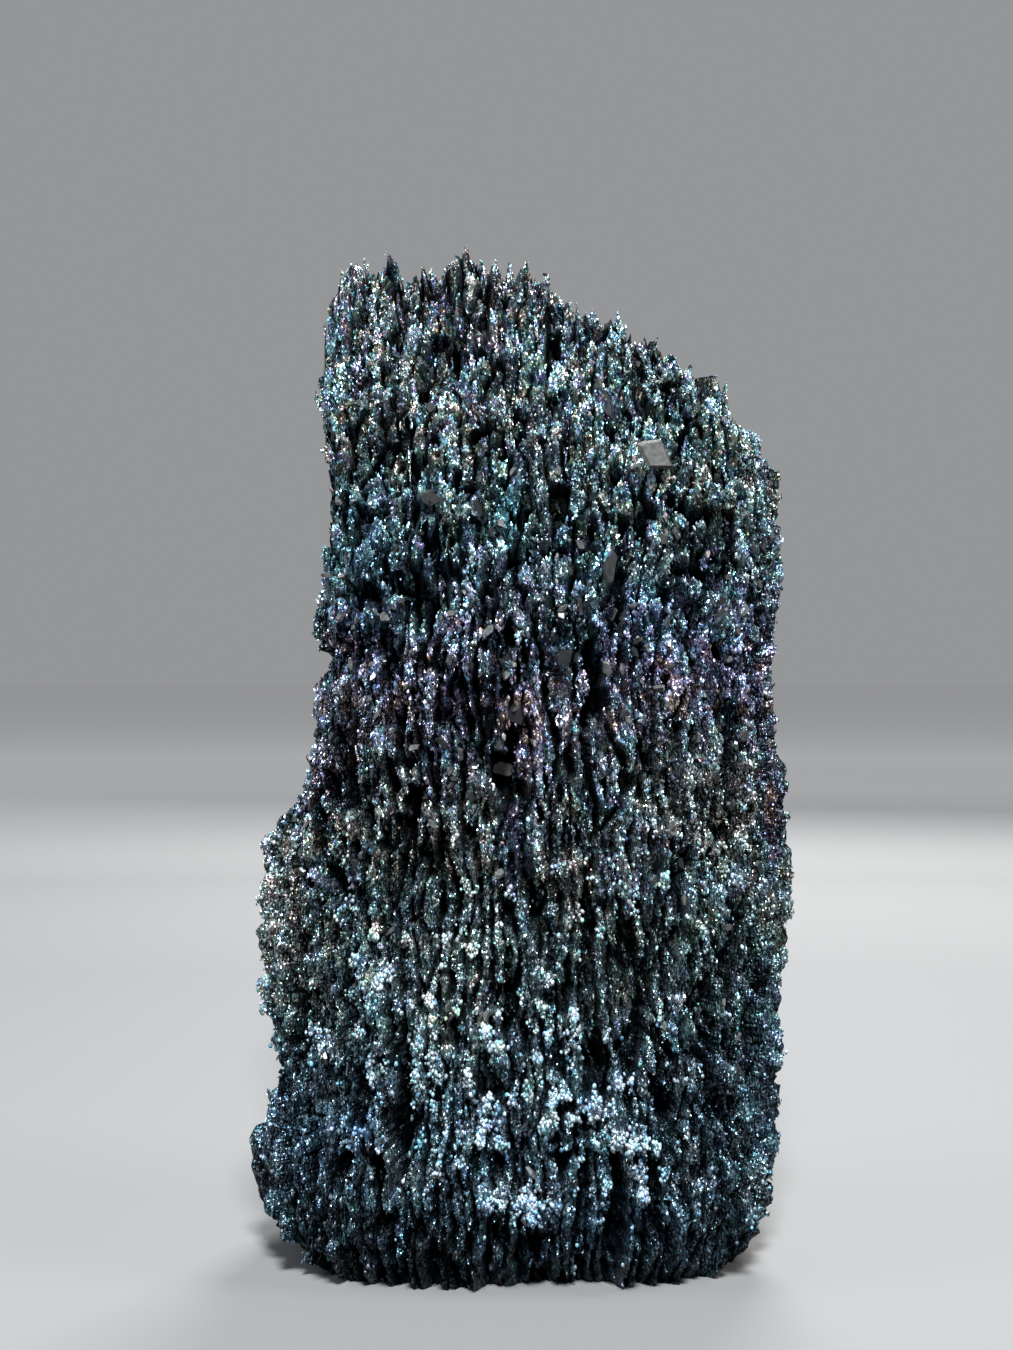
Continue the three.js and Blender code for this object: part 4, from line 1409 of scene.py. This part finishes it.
crust_look = carbide_material(
    "carbide_crust", dark=0.014, bright=3.15, rarity=2.8, roughness=0.35, tilt=0.6, bead=0.2, metal=0.85,
    fleck=0.2)
grain_look = carbide_material(
    "carbide_grains", dark=0.028, bright=1.25, rarity=3.0, roughness=0.38, tilt=0.3, bead=0.1, metal=0.85)
plate_look = plate_material()
pearl_look = carbide_material(
    "carbide_pearls", dark=0.05, bright=0.8, rarity=1.5, roughness=0.58, tilt=0.6, bead=0.15, metal=0.5)
slope_look = carbide_material(
    "carbide_slope", dark=0.052, bright=1.6, rarity=1.6, roughness=0.42, tilt=0.5, bead=0.2, metal=0.85,
    fleck=0.2)

front_middle = girdle.arc_of(0, -HALF_PLAN[1])
front_end = front_middle + FRONT_HALF
back_length = girdle.length - 2 * FRONT_HALF

# Each crust is a pair: its arrays for a piece, and the way outwards at each of its points.
left = wall_strip(front_middle - FRONT_HALF, front_middle, FRONT_PITCH)
right = wall_strip(front_middle, front_end, FRONT_PITCH)
back = wall_strip(front_end, front_end + back_length, SIDE_PITCH)
crown_top = facing(crown_sheet(CROWN_PITCH), CROWN_WAY)
front_slope = facing(slope_sheet(SLOPE_PITCH), SLOPE_WAY)

make_piece("crust_front_left", left[0], crust_look)
make_piece("crust_front_right", right[0], crust_look)
make_piece("crust_slope", front_slope[0], slope_look)
make_piece("crust_back", back[0], crust_look)
make_piece("crust_base", base_cap([left, right, back]), crust_look)
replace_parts(make_piece("crust_crown", crown_top[0], crust_look), NODE)

make_piece("grains_front_left", grains(left, FRONT_GRAINS // 2), grain_look)
make_piece("grains_front_right", grains(right, FRONT_GRAINS // 2), grain_look)
make_piece("pearls_left", pearls(left, PEARLS), pearl_look, smooth=True)
make_piece("pearls_right", pearls(right, PEARLS), pearl_look, smooth=True)
make_piece("grains_slope", grains(front_slope, SLOPE_GRAINS), grain_look)
make_piece("grains_back", grains(back, OTHER_GRAINS), grain_look)
make_piece("plates_large", large_plates([left, right, front_slope]), plate_look)
make_piece("plates_small", small_plates([left, right, front_slope, back], SMALL_PLATES), plate_look)
make_piece("grains_crown", grains(crown_top, CROWN_GRAINS), grain_look)


# ---- Studio, in metres ----

# The floor: half its width, and its paleness by distance from below the key light, which evens out the
# light's falling away. Places nearer the camera count as farther.
FLOOR_HALF = 20.0
FLOOR_REACH = 2.4
FLOOR_FROM = (0.03, -0.4, 0.0)
FLOOR_NEARER = 1.2
FLOOR_PALENESS = [
    (0.0, (0.08,) * 3), (0.17, (0.12,) * 3), (0.3, (0.14,) * 3), (0.42, (0.19,) * 3), (0.55, (0.36,) * 3),
    (0.73, (0.68,) * 3), (1.0, (0.96,) * 3),
]

# Name, place, aim, size, power and colour of each light.
LIGHTS = (
    ("key", (0.02, -0.56, 0.7), (0, 0, 0.06), (0.16, 0.16), 32, (0.93, 0.97, 1.0)),
    ("right", (0.5, -0.15, 0.6), (0, 0, 0.15), (0.2, 0.3), 3.2, (1.0, 0.94, 0.86)),
    ("left", (-0.5, -0.15, 0.6), (0, 0, 0.15), (0.2, 0.3), 2.6, (0.8, 0.9, 1.0)),
    ("rear", (0.15, 0.6, 0.6), (0, 0, 0.09), (0.3, 0.3), 13, (1.0, 1.0, 1.0)),
)

SENSOR_WIDTH = 36.0


def floor_material():
    """A plain pale floor; places nearer the camera count as further from the light."""
    look = Shading("floor")
    away = look.vector("SUBTRACT", look.coords, FLOOR_FROM)
    nearer = look.parts("XYZ", away)[1].at_most(0.0) * FLOOR_NEARER
    further = look.node("CombineXYZ", {1: nearer}).outputs[0]
    far = look.length(look.vector("ADD", away, further))
    look.set("Base Color", look.ramp((far / FLOOR_REACH).held(), FLOOR_PALENESS))
    look.set("Roughness", 0.8)
    look.set("Specular IOR Level", 0.15)
    return look.material


def add_floor():
    mesh = bpy.data.meshes.new("floor")
    corners = [(x * FLOOR_HALF, y * FLOOR_HALF, 0) for x, y in ((-1, -1), (1, -1), (1, 1), (-1, 1))]
    mesh.from_pydata(corners, [], [(0, 1, 2, 3)])
    mesh.materials.append(floor_material())
    floor = placed("floor", mesh)


def add_light(name, place, aim, size, power, colour):
    data = bpy.data.lights.new(name, "AREA")
    data.shape = "RECTANGLE"
    data.size, data.size_y = size
    data.energy = power
    data.color = colour
    lamp = placed(name, data)
    lamp.location = place
    lamp.rotation_euler = (Vector(aim) - Vector(place)).to_track_quat("-Z", "Y").to_euler()


def add_world():
    sky = bpy.data.worlds.new("studio")
    bpy.context.scene.world = sky
    sky.use_nodes = True
    background = sky.node_tree.nodes["Background"]
    background.inputs["Color"].default_value = (0.75, 0.76, 0.78, 1)
    background.inputs["Strength"].default_value = 0.4
    bpy.context.scene.view_settings.view_transform = "Standard"


def add_camera():
    """The camera looks level from the eye, along +Y."""
    data = bpy.data.cameras.new("camera")
    data.sensor_width = SENSOR_WIDTH
    data.lens = SENSOR_WIDTH * FOCAL_PIXELS / LONG_SIDE_PIXELS
    data.clip_start = 0.01
    camera = placed("camera", data)
    camera.location = Vector(EYE) * MM
    camera.rotation_euler = (math.radians(90), 0, 0)
    bpy.context.scene.camera = camera


add_floor()
add_world()
add_camera()
for light in LIGHTS:
    add_light(*light)
